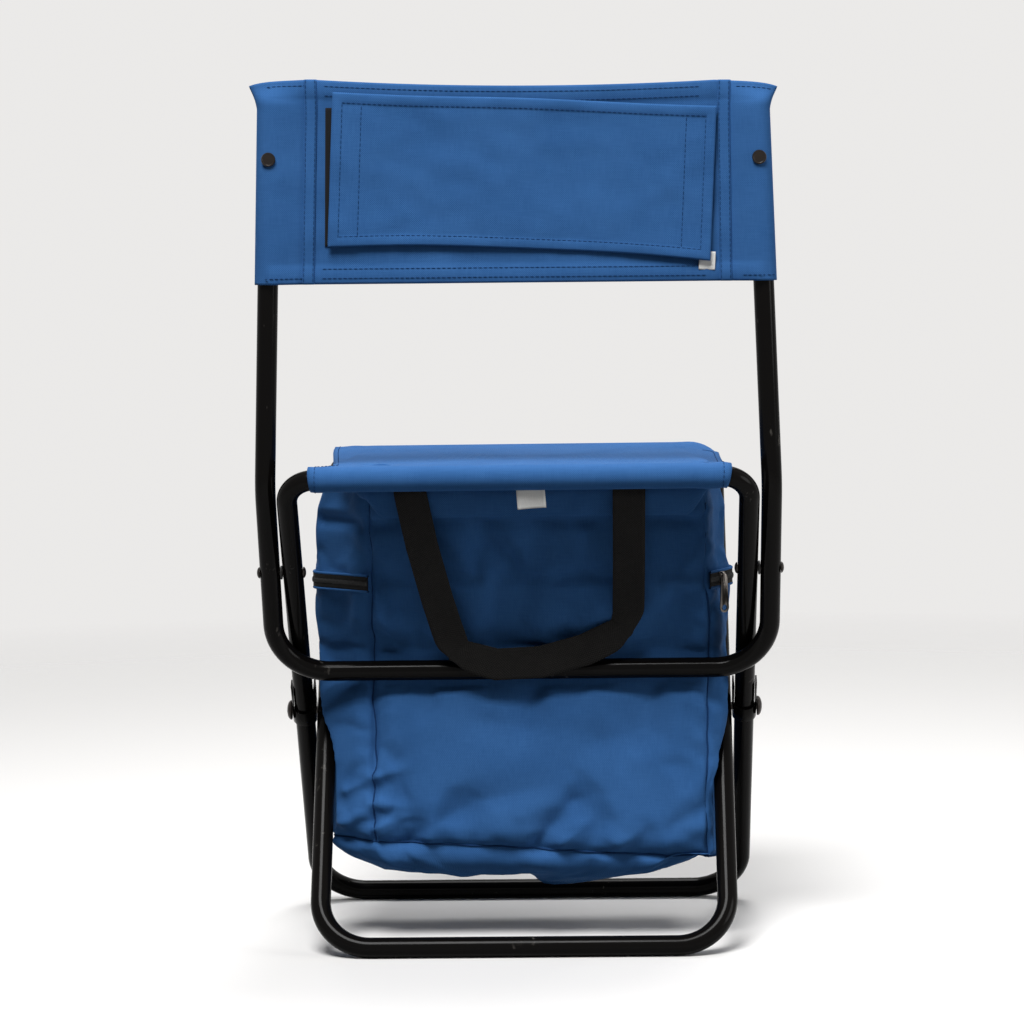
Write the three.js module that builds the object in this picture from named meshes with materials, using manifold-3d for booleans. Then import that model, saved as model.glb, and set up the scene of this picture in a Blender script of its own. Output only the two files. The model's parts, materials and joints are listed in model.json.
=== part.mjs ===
// Folding stool with a backrest and a cooler bag under its seat.
// Millimetres, +Z up, +Y the way the sitter faces and +X to the sitter's right.
import * as THREE from 'three';
import { mergeVertices } from 'three/addons/utils/BufferGeometryUtils.js';
import Module from 'manifold-3d';

// Tube
const tubeDiameter = 16;
const tubeWall = 1.2;
const tubeSides = 16;
const boreSides = 10;
const bendStep = 15;

// Leg frames
const seatBarHeight = 376;
const seatBarSpacing = 276;
const floorBarSpacing = 241;
const outerWidth = 357;
const seatCornerRadius = 22;
const floorCornerRadius = 40;
const loopSeam = 1;
const joinerLength = 60;

// Leg pivots
const pivotGap = 2.4;
const pivotShank = 6;
const pivotDomeDiameter = 16;
const pivotDomeHeight = 3.6;
const pivotHeadDiameter = 12;
const pivotHeadHeight = 1.7;
const saddleThickness = 1.5;
const saddleAbove = 26;
const saddleBelow = 9;
const saddleWebAbove = 4;

// Backrest frame
const hingeHeight = 300;
const hingeGap = 2;
const crossbarDrop = 90;
const bendHeight = 367;
const backLean = 1;
const uprightTop = 658;
const uprightConvergence = 10;
const backCornerRadius = 43;
const backBendRadius = 60;
const hingeShank = 5;
const hingeHeadDiameter = 9;
const hingeHeadHeight = 2.2;
const spacerDiameter = 11;
const plugHead = 3;
const plugTopDiameter = 13.6;
const plugStem = 14;

// Backrest cover
const coverBottom = 525;
const coverTop = 678;
const sleeveWall = 1;
const sleeveTaper = 32;
const earFlare = 6;
const earThickness = 4;
const coverThickness = 4;
const studHeight = 619;
const studDiameter = 11;
const studHeadHeight = 2.4;
const studRimHeight = 1.4;
const studFlatDiameter = 8.4;
const studShank = 4;
const studDepth = 4;

// Display panel on hook and loop strips
const panelWidth = 295;
const panelHeight = 118;
const panelThickness = 1.6;
const panelCorner = 3;
const panelTilt = 2;
const panelCentreX = 4;
const panelCentreHeight = 606;
const stripWidth = 20;
const stripHeight = 102;
const stripThickness = 1.2;
const stripInset = 12;
const loopStripOut = 3.4;
const tagSize = 14;
const tagThickness = 0.5;
const panelTagDrop = 7;
const seatTagWidth = 22;
const seatTagHeight = 15;
const seatTagX = 8;

// Seat
const seatSleeveAbove = 9.8;
const seatSleeveBelow = 12.2;
const seatThickness = 2.6;

// Cooler bag
const bagWall = 1.6;
const bagFloor = 47;
const bagTwist = 16;
const bagTwistBelow = 6.4;
const bagCorner = 9;
const bagToBar = 1.5;
const bagToRivet = 1.2;
const linerWall = 6;
const linerGap = 0.9;
const lidPad = 8;
const zipHeight = 289;
const zipBand = 12;
const zipFromRear = 13;
const sliderLength = 9;
const sliderHeight = 11;
const sliderThickness = 4;
const sliderCorner = 2;
const sliderFromCorner = 10;
const pullLength = 31;
const pullWidth = 8;
const pullThickness = 1.2;
const pullHole = 4.5;

// Carry handle
const webbingWidth = 25;
const webbingThickness = 1.5;
const handleLeftX = -81;
const handleRightX = 85;
const handleLowest = 222;
const handleSewn = 22;
const handleDrift = 30;
const handleLeftTurn = 22;
const handleRightTurn = 34;
const handleRightDrift = 8;

// Clearance between pieces that touch
const clearance = 0.3;

// Values worked out from the sizes above
const tubeRadius = tubeDiameter / 2;
const tubeCorner = tubeRadius / Math.cos(Math.PI / tubeSides);
const boreRadius = tubeRadius - tubeWall;
const floorBarHeight = tubeRadius;
const legRise = seatBarHeight - floorBarHeight;
const legRun = (seatBarSpacing + floorBarSpacing) / 2;
const legAngle = Math.atan2(legRun, legRise);
const legLength = Math.hypot(legRun, legRise);
const upperLeg = legLength * seatBarSpacing / (seatBarSpacing + floorBarSpacing);
const lowerLeg = legLength - upperLeg;
const pivotHeight = floorBarHeight + lowerLeg * Math.cos(legAngle);
const innerWidth = outerWidth - 2 * (tubeDiameter + pivotGap);
const backWidth = outerWidth + 2 * (tubeDiameter + hingeGap);
const hingeAlong = (hingeHeight - pivotHeight) / Math.cos(legAngle);
const hingeY = -hingeAlong * Math.sin(legAngle);
const backLegOffset = tubeDiameter + hingeGap;
const cornerReach = backCornerRadius - backLegOffset;
const cornerRise = backCornerRadius - Math.sqrt(backCornerRadius ** 2 - cornerReach ** 2);
const crossbarOffset = 2 * tubeCorner + 2 * clearance;
const backAngle = legAngle - Math.asin(crossbarOffset / (crossbarDrop - cornerRise));
const leanAngle = THREE.MathUtils.degToRad(backLean);
const lowerUpright = (bendHeight - hingeHeight) / Math.cos(backAngle);
const upperUpright = (uprightTop - bendHeight) / Math.cos(leanAngle);
const sleeveBore = (tubeCorner + clearance) / Math.cos(Math.PI / tubeSides);
const sleeveHalf = sleeveBore + sleeveWall;

const wasm = await Module();
wasm.setup();

// Turns a closed geometry into a solid that can be cut and joined
function solidOf(geometry) {
  const bare = geometry.clone();
  bare.deleteAttribute('normal');
  bare.deleteAttribute('uv');
  const merged = mergeVertices(bare, 1e-4);
  return new wasm.Manifold(new wasm.Mesh({
    numProp: 3,
    vertProperties: new Float32Array(merged.attributes.position.array),
    triVerts: new Uint32Array(merged.index.array),
  }));
}

function geometryOf(solid) {
  const mesh = solid.getMesh();
  const geometry = new THREE.BufferGeometry();
  geometry.setAttribute('position', new THREE.BufferAttribute(mesh.vertProperties, 3));
  geometry.setIndex(new THREE.BufferAttribute(mesh.triVerts, 1));
  geometry.computeVertexNormals();
  return geometry;
}

function cut(geometry, ...tools) {
  return geometryOf(tools.reduce((solid, tool) => solid.subtract(solidOf(tool)), solidOf(geometry)));
}

function join(first, ...others) {
  return geometryOf(others.reduce((solid, other) => solid.add(solidOf(other)), solidOf(first)));
}

function common(first, second) {
  return geometryOf(solidOf(first).intersect(solidOf(second)));
}

// A route through chosen stations, so that straight runs take one step and bends take several
class Route extends THREE.Curve {
  constructor(stations) {
    super();
    this.stations = stations;
  }

  getPoint(t) {
    const last = this.stations.length - 1;
    const start = Math.min(Math.floor(t * last + 1e-6), last - 1);
    return this.stations[start].clone().lerp(this.stations[start + 1], t * last - start);
  }

  getTangent(t) {
    const last = this.stations.length - 1;
    const here = Math.round(t * last);
    const tangent = new THREE.Vector3();
    if (here > 0) tangent.add(this.stations[here].clone().sub(this.stations[here - 1]).normalize());
    if (here < last) tangent.add(this.stations[here + 1].clone().sub(this.stations[here]).normalize());
    return tangent.normalize();
  }

  getPointAt(u) {
    return this.getPoint(u);
  }

  getTangentAt(u) {
    return this.getTangent(u);
  }
}

// Stations of a bent tube: corners, each rounded by its own bend radius
function bentRoute(corners, radii) {
  const stations = [corners[0]];
  for (let i = 1; i < corners.length - 1; i += 1) {
    const inward = corners[i].clone().sub(corners[i - 1]).normalize();
    const outward = corners[i + 1].clone().sub(corners[i]).normalize();
    const turn = inward.angleTo(outward);
    const radius = radii[i - 1];
    const side = outward.clone().addScaledVector(inward, -inward.dot(outward)).normalize();
    const centre = corners[i].clone()
      .addScaledVector(inward, -radius * Math.tan(turn / 2))
      .addScaledVector(side, radius);
    const steps = Math.max(2, Math.round(THREE.MathUtils.radToDeg(turn) / bendStep));
    for (let k = 0; k <= steps; k += 1) {
      const angle = turn * k / steps;
      stations.push(centre.clone()
        .addScaledVector(side, -radius * Math.cos(angle))
        .addScaledVector(inward, radius * Math.sin(angle)));
    }
  }
  stations.push(corners[corners.length - 1]);
  return new Route(stations);
}

function polygon(radius, sides, facetAngle) {
  const points = [];
  for (let i = 0; i < sides; i += 1) {
    const angle = facetAngle + (i + 0.5) * 2 * Math.PI / sides;
    points.push(new THREE.Vector2(radius * Math.cos(angle), radius * Math.sin(angle)));
  }
  return points;
}

// Hollow tube along a route, with one flat of its section at the given angle
function hollowTube(route, facetAngle) {
  const section = new THREE.Shape(polygon(tubeCorner, tubeSides, facetAngle));
  section.holes.push(new THREE.Path(polygon(boreRadius, boreSides, facetAngle)));
  return new THREE.ExtrudeGeometry(section, { extrudePath: route, steps: route.stations.length - 1 });
}

// Round bar between two points, made large enough for its flats to clear the radius
function roundBar(from, to, radius, sides = tubeSides) {
  const length = from.distanceTo(to);
  const geometry = new THREE.CylinderGeometry(radius, radius, length, sides);
  const turn = new THREE.Quaternion().setFromUnitVectors(
    new THREE.Vector3(0, 1, 0),
    to.clone().sub(from).normalize(),
  );
  geometry.applyQuaternion(turn);
  return geometry.translate(...from.clone().add(to).multiplyScalar(0.5).toArray());
}

function across(halfLength, radius, y, z, sides = tubeSides) {
  return roundBar(new THREE.Vector3(-halfLength, y, z), new THREE.Vector3(halfLength, y, z), radius, sides);
}

// Turned piece whose profile runs along +X from the axis and back to it
function turnedAlongX(profile, sides = 16) {
  const points = profile.map(([radius, along]) => new THREE.Vector2(radius, along));
  return new THREE.LatheGeometry(points, sides).rotateZ(-Math.PI / 2);
}

// Profile of a rounded head, from its rim on a face to the axis; a negative height faces the other way
function dome(radius, height, face, steps = 4) {
  const points = [];
  for (let i = 0; i < steps; i += 1) {
    const angle = i * Math.PI / 2 / steps;
    points.push([radius * Math.cos(angle), face + height * Math.sin(angle)]);
  }
  return [...points, [0, face + height]];
}

function roundedPlate(width, height, thickness, corner) {
  const x = width / 2;
  const y = height / 2;
  const shape = new THREE.Shape();
  shape.moveTo(-x + corner, -y).lineTo(x - corner, -y).quadraticCurveTo(x, -y, x, -y + corner);
  shape.lineTo(x, y - corner).quadraticCurveTo(x, y, x - corner, y);
  shape.lineTo(-x + corner, y).quadraticCurveTo(-x, y, -x, y - corner);
  shape.lineTo(-x, -y + corner).quadraticCurveTo(-x, -y, -x + corner, -y);
  return new THREE.ExtrudeGeometry(shape, { depth: thickness, bevelEnabled: false, curveSegments: 3 });
}

// Closed skin over a row of sections with equal point counts, each end filled from its middle
function loft(sections) {
  const count = sections[0].length;
  const vertices = sections.flat();
  const faces = [];
  for (let s = 0; s < sections.length - 1; s += 1) {
    for (let i = 0; i < count; i += 1) {
      const a = s * count + i;
      const b = s * count + (i + 1) % count;
      faces.push(a, b, b + count, a, b + count, a + count);
    }
  }
  const middle = (section) => section.reduce((sum, p) => sum.add(p), new THREE.Vector3()).divideScalar(count);
  const first = vertices.push(middle(sections[0])) - 1;
  const last = vertices.push(middle(sections[sections.length - 1])) - 1;
  const top = (sections.length - 1) * count;
  for (let i = 0; i < count; i += 1) {
    const next = (i + 1) % count;
    faces.push(first, next, i, last, top + i, top + next);
  }
  const geometry = new THREE.BufferGeometry().setFromPoints(vertices);
  geometry.setIndex(faces);
  geometry.computeVertexNormals();
  return geometry;
}

// Finishes
const finish = (color, roughness, metalness) => (
  () => new THREE.MeshStandardMaterial({ color, roughness, metalness })
);
const paintedSteel = finish(0x0c0a09, 0.28, 0.4);
const darkRivet = finish(0x15110f, 0.4, 0.6);
const zincSteel = finish(0x9a9a98, 0.4, 0.9);
const blackPlastic = finish(0x111111, 0.5, 0);
const blueFabric = finish(0x2f64a8, 0.8, 0);
const blackWebbing = finish(0x0b0b0c, 0.85, 0);
const whiteTag = finish(0xe8e8e4, 0.7, 0);
const foilFoam = finish(0xc9ccd0, 0.35, 0.6);
const gunmetal = finish(0x6f6a64, 0.35, 0.9);

const stool = new THREE.Group();
const sides = [['left', -1], ['right', 1]];

function add(parent, name, geometry, material) {
  const mesh = new THREE.Mesh(geometry, material);
  mesh.name = name;
  parent.add(mesh);
  return mesh;
}

// Leg frames
// Each is one tube loop in its own plane: local +Y runs up the legs from the pivot, +Z faces back or down.
function legRoute(width) {
  const x = width / 2;
  const seam = loopSeam / 2;
  const corner = (px, py) => new THREE.Vector3(px, py, 0);
  return bentRoute(
    [corner(seam, upperLeg), corner(x, upperLeg), corner(x, -lowerLeg), corner(-x, -lowerLeg),
      corner(-x, upperLeg), corner(-seam, upperLeg)],
    [seatCornerRadius, floorCornerRadius, floorCornerRadius, seatCornerRadius],
  );
}

const pivotBore = across(outerWidth, pivotShank / 2 + clearance, 0, 0);
const hingeBore = across(outerWidth, hingeShank / 2 + clearance, hingeAlong, 0);
const joinerRadius = boreRadius * Math.cos(Math.PI / boreSides) - clearance;
const joiner = across(joinerLength / 2, joinerRadius, upperLeg, 0);

const outerFrame = new THREE.Group();
outerFrame.position.z = pivotHeight;
outerFrame.rotation.x = Math.PI / 2 + legAngle;
const outerTube = hollowTube(legRoute(outerWidth), Math.PI / 2 + legAngle);
add(outerFrame, 'outer_leg_tube', cut(outerTube, pivotBore, hingeBore), paintedSteel());
add(outerFrame, 'outer_tube_joiner', joiner, zincSteel());

const innerFrame = new THREE.Group();
innerFrame.position.z = pivotHeight;
innerFrame.rotation.x = Math.PI / 2 - legAngle;
const innerTube = hollowTube(legRoute(innerWidth), Math.PI / 2 - legAngle);
add(innerFrame, 'inner_leg_tube', cut(innerTube, pivotBore), paintedSteel());
add(innerFrame, 'inner_tube_joiner', joiner.clone(), zincSteel());

// Stop saddles and leg pivots
// A saddle is a bent strip round the rear of the outer leg with an ear on each side of it.
const saddleInner = tubeCorner + clearance;
const saddleOuter = saddleInner + saddleThickness;

function saddle() {
  const shape = new THREE.Shape();
  shape.moveTo(-saddleOuter, -tubeRadius).lineTo(-saddleInner, -tubeRadius).lineTo(-saddleInner, 0);
  shape.absarc(0, 0, saddleInner, Math.PI, 0, true);
  shape.lineTo(saddleInner, -tubeRadius).lineTo(saddleOuter, -tubeRadius).lineTo(saddleOuter, 0);
  shape.absarc(0, 0, saddleOuter, 0, Math.PI, false);
  const strip = new THREE.ExtrudeGeometry(shape, {
    depth: saddleAbove + saddleBelow,
    bevelEnabled: false,
    curveSegments: 12,
  });
  strip.rotateX(-Math.PI / 2).rotateY(Math.PI).translate(0, -saddleBelow, 0);
  const webHeight = saddleAbove - saddleWebAbove;
  const webCut = new THREE.BoxGeometry(2 * saddleInner, webHeight, 4 * saddleOuter);
  webCut.translate(0, saddleWebAbove + webHeight / 2 + clearance, 0);
  const rivetHole = across(2 * saddleOuter, pivotShank / 2 + clearance, 0, 0);
  return cut(strip, webCut, rivetHole);
}

const pivotOuterFace = outerWidth / 2 + saddleOuter + clearance;
const pivotInnerFace = innerWidth / 2 - tubeCorner - clearance;
const pivotProfile = [
  [0, pivotInnerFace - pivotHeadHeight],
  [pivotHeadDiameter / 2, pivotInnerFace - pivotHeadHeight],
  [pivotHeadDiameter / 2, pivotInnerFace],
  [pivotShank / 2, pivotInnerFace],
  [pivotShank / 2, pivotOuterFace],
  ...dome(pivotDomeDiameter / 2, pivotDomeHeight, pivotOuterFace),
];

for (const [side, sign] of sides) {
  const strip = add(outerFrame, `stop_saddle_${side}`, saddle(), paintedSteel());
  strip.position.x = sign * outerWidth / 2;
  const rivet = add(outerFrame, `leg_pivot_rivet_${side}`, turnedAlongX(pivotProfile), darkRivet());
  rivet.rotation.z = sign > 0 ? 0 : Math.PI;
}

// Backrest tube
// A U hung on the outer legs: local +Y runs up its lower part from the hinge, +Z faces back.
const backrest = new THREE.Group();
backrest.position.set(0, hingeY, hingeHeight);
backrest.rotation.x = Math.PI / 2 + backAngle;
const panelGroup = new THREE.Group();
panelGroup.position.y = lowerUpright;
panelGroup.rotation.x = leanAngle - backAngle;
panelGroup.updateMatrix();
backrest.add(panelGroup);

const halfBack = backWidth / 2;
const uprightFoot = (sign) => new THREE.Vector3(sign * halfBack, 0, 0);
const uprightHead = (sign) => new THREE.Vector3(sign * (halfBack - uprightConvergence), upperUpright, 0);
const uprightX = (along) => halfBack - uprightConvergence * along / upperUpright;
const inBackrest = (point) => point.applyMatrix4(panelGroup.matrix);

const backRoute = bentRoute(
  [inBackrest(uprightHead(-1)), inBackrest(uprightFoot(-1)), new THREE.Vector3(-halfBack, -crossbarDrop, 0),
    new THREE.Vector3(halfBack, -crossbarDrop, 0), inBackrest(uprightFoot(1)), inBackrest(uprightHead(1))],
  [backBendRadius, backCornerRadius, backCornerRadius, backBendRadius],
);
const hingeHole = across(backWidth, hingeShank / 2 + clearance, 0, 0);
const alongOf = (height) => (height - bendHeight) / Math.cos(leanAngle);
const studAlong = alongOf(studHeight);
const drillSides = 8;
const studHole = (sign) => roundBar(
  new THREE.Vector3(sign * uprightX(studAlong), studAlong, 0),
  new THREE.Vector3(sign * uprightX(studAlong), studAlong, 2 * sleeveHalf),
  studShank / 2 + clearance,
  drillSides,
);
const studDrills = sides.map(([, sign]) => studHole(sign).applyMatrix4(panelGroup.matrix));
add(backrest, 'backrest_tube', cut(hollowTube(backRoute, 0), hingeHole, ...studDrills), paintedSteel());

const hingeOuterFace = halfBack + tubeCorner + clearance;
const hingeInnerFace = outerWidth / 2 - tubeCorner - clearance;
const hingeProfile = [
  ...dome(hingeHeadDiameter / 2, -hingeHeadHeight, hingeInnerFace).reverse(),
  [hingeShank / 2, hingeInnerFace],
  [hingeShank / 2, hingeOuterFace],
  ...dome(hingeHeadDiameter / 2, hingeHeadHeight, hingeOuterFace),
];
const spacerInner = outerWidth / 2 + tubeCorner + clearance;
const spacerOuter = halfBack - tubeCorner - clearance;
const spacerBore = hingeShank / 2 + clearance;
const spacerProfile = [
  [spacerBore, spacerInner],
  [spacerDiameter / 2, spacerInner],
  [spacerDiameter / 2, spacerOuter],
  [spacerBore, spacerOuter],
  [spacerBore, spacerInner],
];
const plugProfile = [
  [0, -plugStem],
  [joinerRadius, -plugStem],
  [joinerRadius, clearance],
  [tubeRadius, clearance],
  [plugTopDiameter / 2, plugHead],
  [0, plugHead],
];

for (const [side, sign] of sides) {
  const rivet = add(outerFrame, `backrest_rivet_${side}`, turnedAlongX(hingeProfile, 12), darkRivet());
  rivet.position.y = hingeAlong;
  rivet.rotation.z = sign > 0 ? 0 : Math.PI;
  const spacer = add(outerFrame, `backrest_spacer_${side}`, turnedAlongX(spacerProfile, 12), blackPlastic());
  spacer.position.y = hingeAlong;
  spacer.rotation.z = sign > 0 ? 0 : Math.PI;
  const plug = add(panelGroup, `upright_plug_${side}`, turnedAlongX(plugProfile, 12), blackPlastic());
  const upward = uprightHead(sign).sub(uprightFoot(sign)).normalize();
  plug.quaternion.setFromUnitVectors(new THREE.Vector3(1, 0, 0), upward);
  plug.position.copy(uprightHead(sign));
}

// Backrest cover
// Two layers of cloth sewn into a sleeve on each upright; the sleeves close and flare above the tubes.
const coverFoot = alongOf(coverBottom);
const coverHead = alongOf(coverTop);
const plugTop = upperUpright + plugHead;

function coverSection(along, half, flare) {
  const x = uprightX(along);
  const edge = coverThickness / 2;
  const lobe = [[x - sleeveTaper, edge], [x, half]];
  for (let i = 1; i < 6; i += 1) {
    const angle = Math.PI / 2 - i * Math.PI / 6;
    lobe.push([x + (sleeveHalf + flare) * Math.cos(angle), half * Math.sin(angle)]);
  }
  lobe.push([x, -half], [x - sleeveTaper, -edge]);
  const mirrored = lobe.map(([px, pz]) => [-px, -pz]);
  return [...lobe, ...mirrored].map(([px, pz]) => new THREE.Vector3(px, along, pz));
}

const coverBody = loft([
  coverSection(coverFoot, sleeveHalf, 0),
  coverSection((coverFoot + plugTop) / 2, sleeveHalf, 0),
  coverSection(plugTop + clearance, sleeveHalf, 0),
  coverSection(plugTop + clearance + sleeveWall, sleeveHalf, earFlare / 2),
  coverSection(coverHead, earThickness / 2, earFlare),
]);
const sleeveBores = sides.map(([, sign]) => {
  const upward = uprightHead(sign).sub(uprightFoot(sign)).normalize();
  const start = uprightFoot(sign).addScaledVector(upward, coverFoot / 2);
  const end = uprightHead(sign).addScaledVector(upward, plugHead + clearance);
  return roundBar(start, end, sleeveBore);
});
add(panelGroup, 'backrest_cover', cut(coverBody, ...sleeveBores, studHole(-1), studHole(1)), blueFabric());

const studFace = sleeveHalf + clearance;
const studProfile = [
  [0, studDepth],
  [studShank / 2, studDepth],
  [studShank / 2, studFace],
  [studDiameter / 2, studFace],
  [studDiameter / 2, studFace + studRimHeight],
  [studFlatDiameter / 2, studFace + studHeadHeight],
  [0, studFace + studHeadHeight],
];
for (const [side, sign] of sides) {
  const stud = add(panelGroup, `sleeve_stud_${side}`, turnedAlongX(studProfile, 16), darkRivet());
  stud.rotation.y = -Math.PI / 2;
  stud.position.set(sign * uprightX(studAlong), studAlong, 0);
}

// Display panel
// A loose rectangle of doubled cloth that hangs on the rear of the cover by strips at its ends.
const loopFace = coverThickness / 2 + clearance;
const hookFace = loopFace + stripThickness + clearance;
const panelFace = hookFace + stripThickness + clearance;
const display = new THREE.Group();
display.position.set(panelCentreX, alongOf(panelCentreHeight), 0);
display.rotation.z = -THREE.MathUtils.degToRad(panelTilt);
panelGroup.add(display);
const panelCloth = roundedPlate(panelWidth, panelHeight, panelThickness, panelCorner);
const panel = add(display, 'display_panel', panelCloth, blueFabric());
panel.position.z = panelFace;
for (const [side, sign] of sides) {
  const strip = new THREE.BoxGeometry(stripWidth, stripHeight, stripThickness);
  const x = sign * (panelWidth / 2 - stripInset);
  const loop = add(display, `loop_strip_${side}`, strip, blackWebbing());
  loop.position.set(x + sign * loopStripOut, 0, loopFace + stripThickness / 2);
  const hook = add(display, `hook_strip_${side}`, strip.clone(), blackWebbing());
  hook.position.set(x, 0, hookFace + stripThickness / 2);
}
const panelLabel = new THREE.BoxGeometry(tagSize, tagSize, tagThickness);
const panelTag = add(display, 'panel_tag', panelLabel, whiteTag());
panelTag.position.set(
  panelWidth / 2 - tagSize / 2,
  -panelHeight / 2 - tagSize / 2 + panelTagDrop,
  panelFace - clearance - tagThickness / 2,
);

// Seat
// A sling whose ends are sewn into sleeves round the two seat bars, narrower at the front bar.
const rearBarY = -seatBarSpacing / 2;
const frontBarY = seatBarSpacing / 2;
const rearSleeve = outerWidth / 2 - seatCornerRadius - clearance;
const frontSleeve = innerWidth / 2 - seatCornerRadius - clearance;
const seatTop = seatBarHeight + seatSleeveAbove;

function barSleeve(half, y) {
  const sleeve = across(half, 1, 0, 0, 20);
  const height = (seatSleeveAbove + seatSleeveBelow) / 2;
  sleeve.scale(1, sleeveHalf + sleeveWall, height);
  return sleeve.translate(0, y, seatTop - height);
}

const slingShape = new THREE.Shape();
slingShape.moveTo(-rearSleeve, rearBarY).lineTo(rearSleeve, rearBarY);
slingShape.lineTo(frontSleeve, frontBarY).lineTo(-frontSleeve, frontBarY);
const sling = new THREE.ExtrudeGeometry(slingShape, { depth: seatThickness, bevelEnabled: false });
sling.translate(0, 0, seatTop - seatThickness);
const seatCover = cut(
  join(sling, barSleeve(rearSleeve, rearBarY), barSleeve(frontSleeve, frontBarY)),
  across(outerWidth, sleeveBore, rearBarY, seatBarHeight),
  across(outerWidth, sleeveBore, frontBarY, seatBarHeight),
);
add(stool, 'seat_cover', seatCover, blueFabric());

const seatLabel = new THREE.BoxGeometry(seatTagWidth, tagThickness, seatTagHeight);
const seatTag = add(stool, 'seat_tag', seatLabel, whiteTag());
const sleeveFoot = seatBarHeight - seatSleeveBelow;
seatTag.position.set(seatTagX, rearBarY, sleeveFoot - clearance - seatTagHeight / 2);

// Cooler bag
// One sewn shell. Above the crossbar its rear leans with the outer legs, and below it swells back again.
const bagTop = seatTop - seatThickness - clearance;
const crossbarY = hingeY + crossbarDrop * Math.sin(backAngle);
const crossbarHeight = hingeHeight - crossbarDrop * Math.cos(backAngle);
const bagWaist = crossbarY + tubeCorner + bagToBar;
const insideLegs = innerWidth / 2 - tubeCorner - pivotHeadHeight - bagToRivet;
const betweenOuterLegs = outerWidth / 2 - tubeCorner - bagToBar;
const zipFoot = zipHeight - zipBand / 2;
const zipHead = zipHeight + zipBand / 2;

// The bag's outline at each height: Y of its rear and front faces, then half widths at its rear,
// at its widest, beside the legs and at its front
const bagLevels = [
  { height: bagFloor, rear: -44, front: 44, rearHalf: 108, widest: 122, beside: 122, frontHalf: 112 },
  {
    height: bagFloor + 12, rear: -58, front: 60,
    rearHalf: 124, widest: insideLegs - 8, beside: insideLegs - 8, frontHalf: 130,
  },
  {
    height: bagFloor + 50, rear: -62, front: 66,
    rearHalf: 128, widest: insideLegs - 1, beside: insideLegs - 1, frontHalf: insideLegs - 4,
  },
  {
    height: pivotHeight, rear: -50, front: 74,
    rearHalf: 130, widest: insideLegs, beside: insideLegs, frontHalf: insideLegs - 2,
  },
  {
    height: crossbarHeight - tubeDiameter, rear: bagWaist, front: 80,
    rearHalf: 130, widest: insideLegs, beside: insideLegs, frontHalf: insideLegs - 2,
  },
  {
    height: crossbarHeight + tubeDiameter, rear: bagWaist, front: 86,
    rearHalf: 131, widest: betweenOuterLegs - 12, beside: insideLegs, frontHalf: insideLegs - 2,
  },
  {
    height: zipFoot, rear: -71, front: 97,
    rearHalf: 131, widest: betweenOuterLegs - 3, beside: insideLegs, frontHalf: insideLegs - 2,
  },
  {
    height: zipHead, rear: -71, front: 97,
    rearHalf: 131, widest: betweenOuterLegs - 3, beside: insideLegs, frontHalf: insideLegs - 2,
  },
  {
    height: (zipHeight + bagTop) / 2 + zipBand, rear: -98, front: 108,
    rearHalf: 130, widest: betweenOuterLegs - 10, beside: insideLegs, frontHalf: insideLegs - 4,
  },
  {
    height: bagTop, rear: -116, front: 114,
    rearHalf: 128, widest: insideLegs - 4, beside: insideLegs - 6, frontHalf: frontSleeve - 4,
  },
];
const widestShare = 0.25;
const besideShare = 0.55;

function bagLevelAt(height) {
  const upper = Math.max(1, bagLevels.findIndex((level) => level.height >= height));
  const low = bagLevels[upper - 1];
  const high = bagLevels[upper];
  const share = (height - low.height) / (high.height - low.height);
  const between = (key) => low[key] + (high[key] - low[key]) * share;
  return Object.fromEntries(Object.keys(low).map((key) => [key, between(key)]));
}

function bagSection({ height, rear, front, rearHalf, widest, beside, frontHalf }, inset) {
  const atWidest = rear + (front - rear) * widestShare;
  const atLegs = rear + (front - rear) * besideShare;
  const shift = height > pivotHeight ? bagTwist : bagTwistBelow;
  const outline = [
    [rearHalf + shift - bagCorner - inset, rear + inset],
    [rearHalf + shift - inset, rear + bagCorner + inset],
    [widest - inset, atWidest],
    [beside - inset, atLegs],
    [frontHalf - inset, front - bagCorner - inset],
    [frontHalf - bagCorner - inset, front - inset],
    [-frontHalf + bagCorner + inset, front - inset],
    [-frontHalf + inset, front - bagCorner - inset],
    [-beside + inset, atLegs],
    [-widest + inset, atWidest],
    [-rearHalf + shift + inset, rear + bagCorner + inset],
    [-rearHalf + shift + bagCorner + inset, rear + inset],
  ];
  return outline.map(([x, y]) => new THREE.Vector3(x, y, height));
}

function bagSolid(inset, floor, top) {
  const inside = bagLevels.filter(({ height }) => height > floor + clearance && height < top - clearance);
  const levels = [bagLevelAt(floor), ...inside, bagLevelAt(top)];
  return loft(levels.map((level) => bagSection(level, inset)));
}

const zipRear = bagLevelAt(zipHeight).rear + zipFromRear;
const zipSlot = new THREE.BoxGeometry(2 * outerWidth, outerWidth, zipBand);
zipSlot.translate(0, zipRear + outerWidth / 2, zipHeight);
const zipFill = new THREE.BoxGeometry(2 * outerWidth, outerWidth, zipBand - 2 * clearance);
zipFill.translate(0, zipRear + clearance + outerWidth / 2, zipHeight);
const bagOutside = bagSolid(0, bagFloor, bagTop);
const bagInside = bagSolid(bagWall, bagFloor + bagWall, bagTop - bagWall);
const bagSkin = cut(bagOutside, bagInside);
add(stool, 'bag_shell', cut(bagSkin, zipSlot), blueFabric());
add(stool, 'zip_tape', common(bagSkin, zipFill), blackWebbing());

const linerInset = bagWall + linerGap;
const linerTop = zipFoot - clearance;
const padFoot = bagTop - linerInset - lidPad;

function bagSlice(inset, floor, low, high) {
  const slab = new THREE.BoxGeometry(2 * outerWidth, 2 * outerWidth, high - low);
  slab.translate(0, 0, (low + high) / 2);
  return common(bagSolid(inset, floor, bagTop - inset), slab);
}

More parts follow.
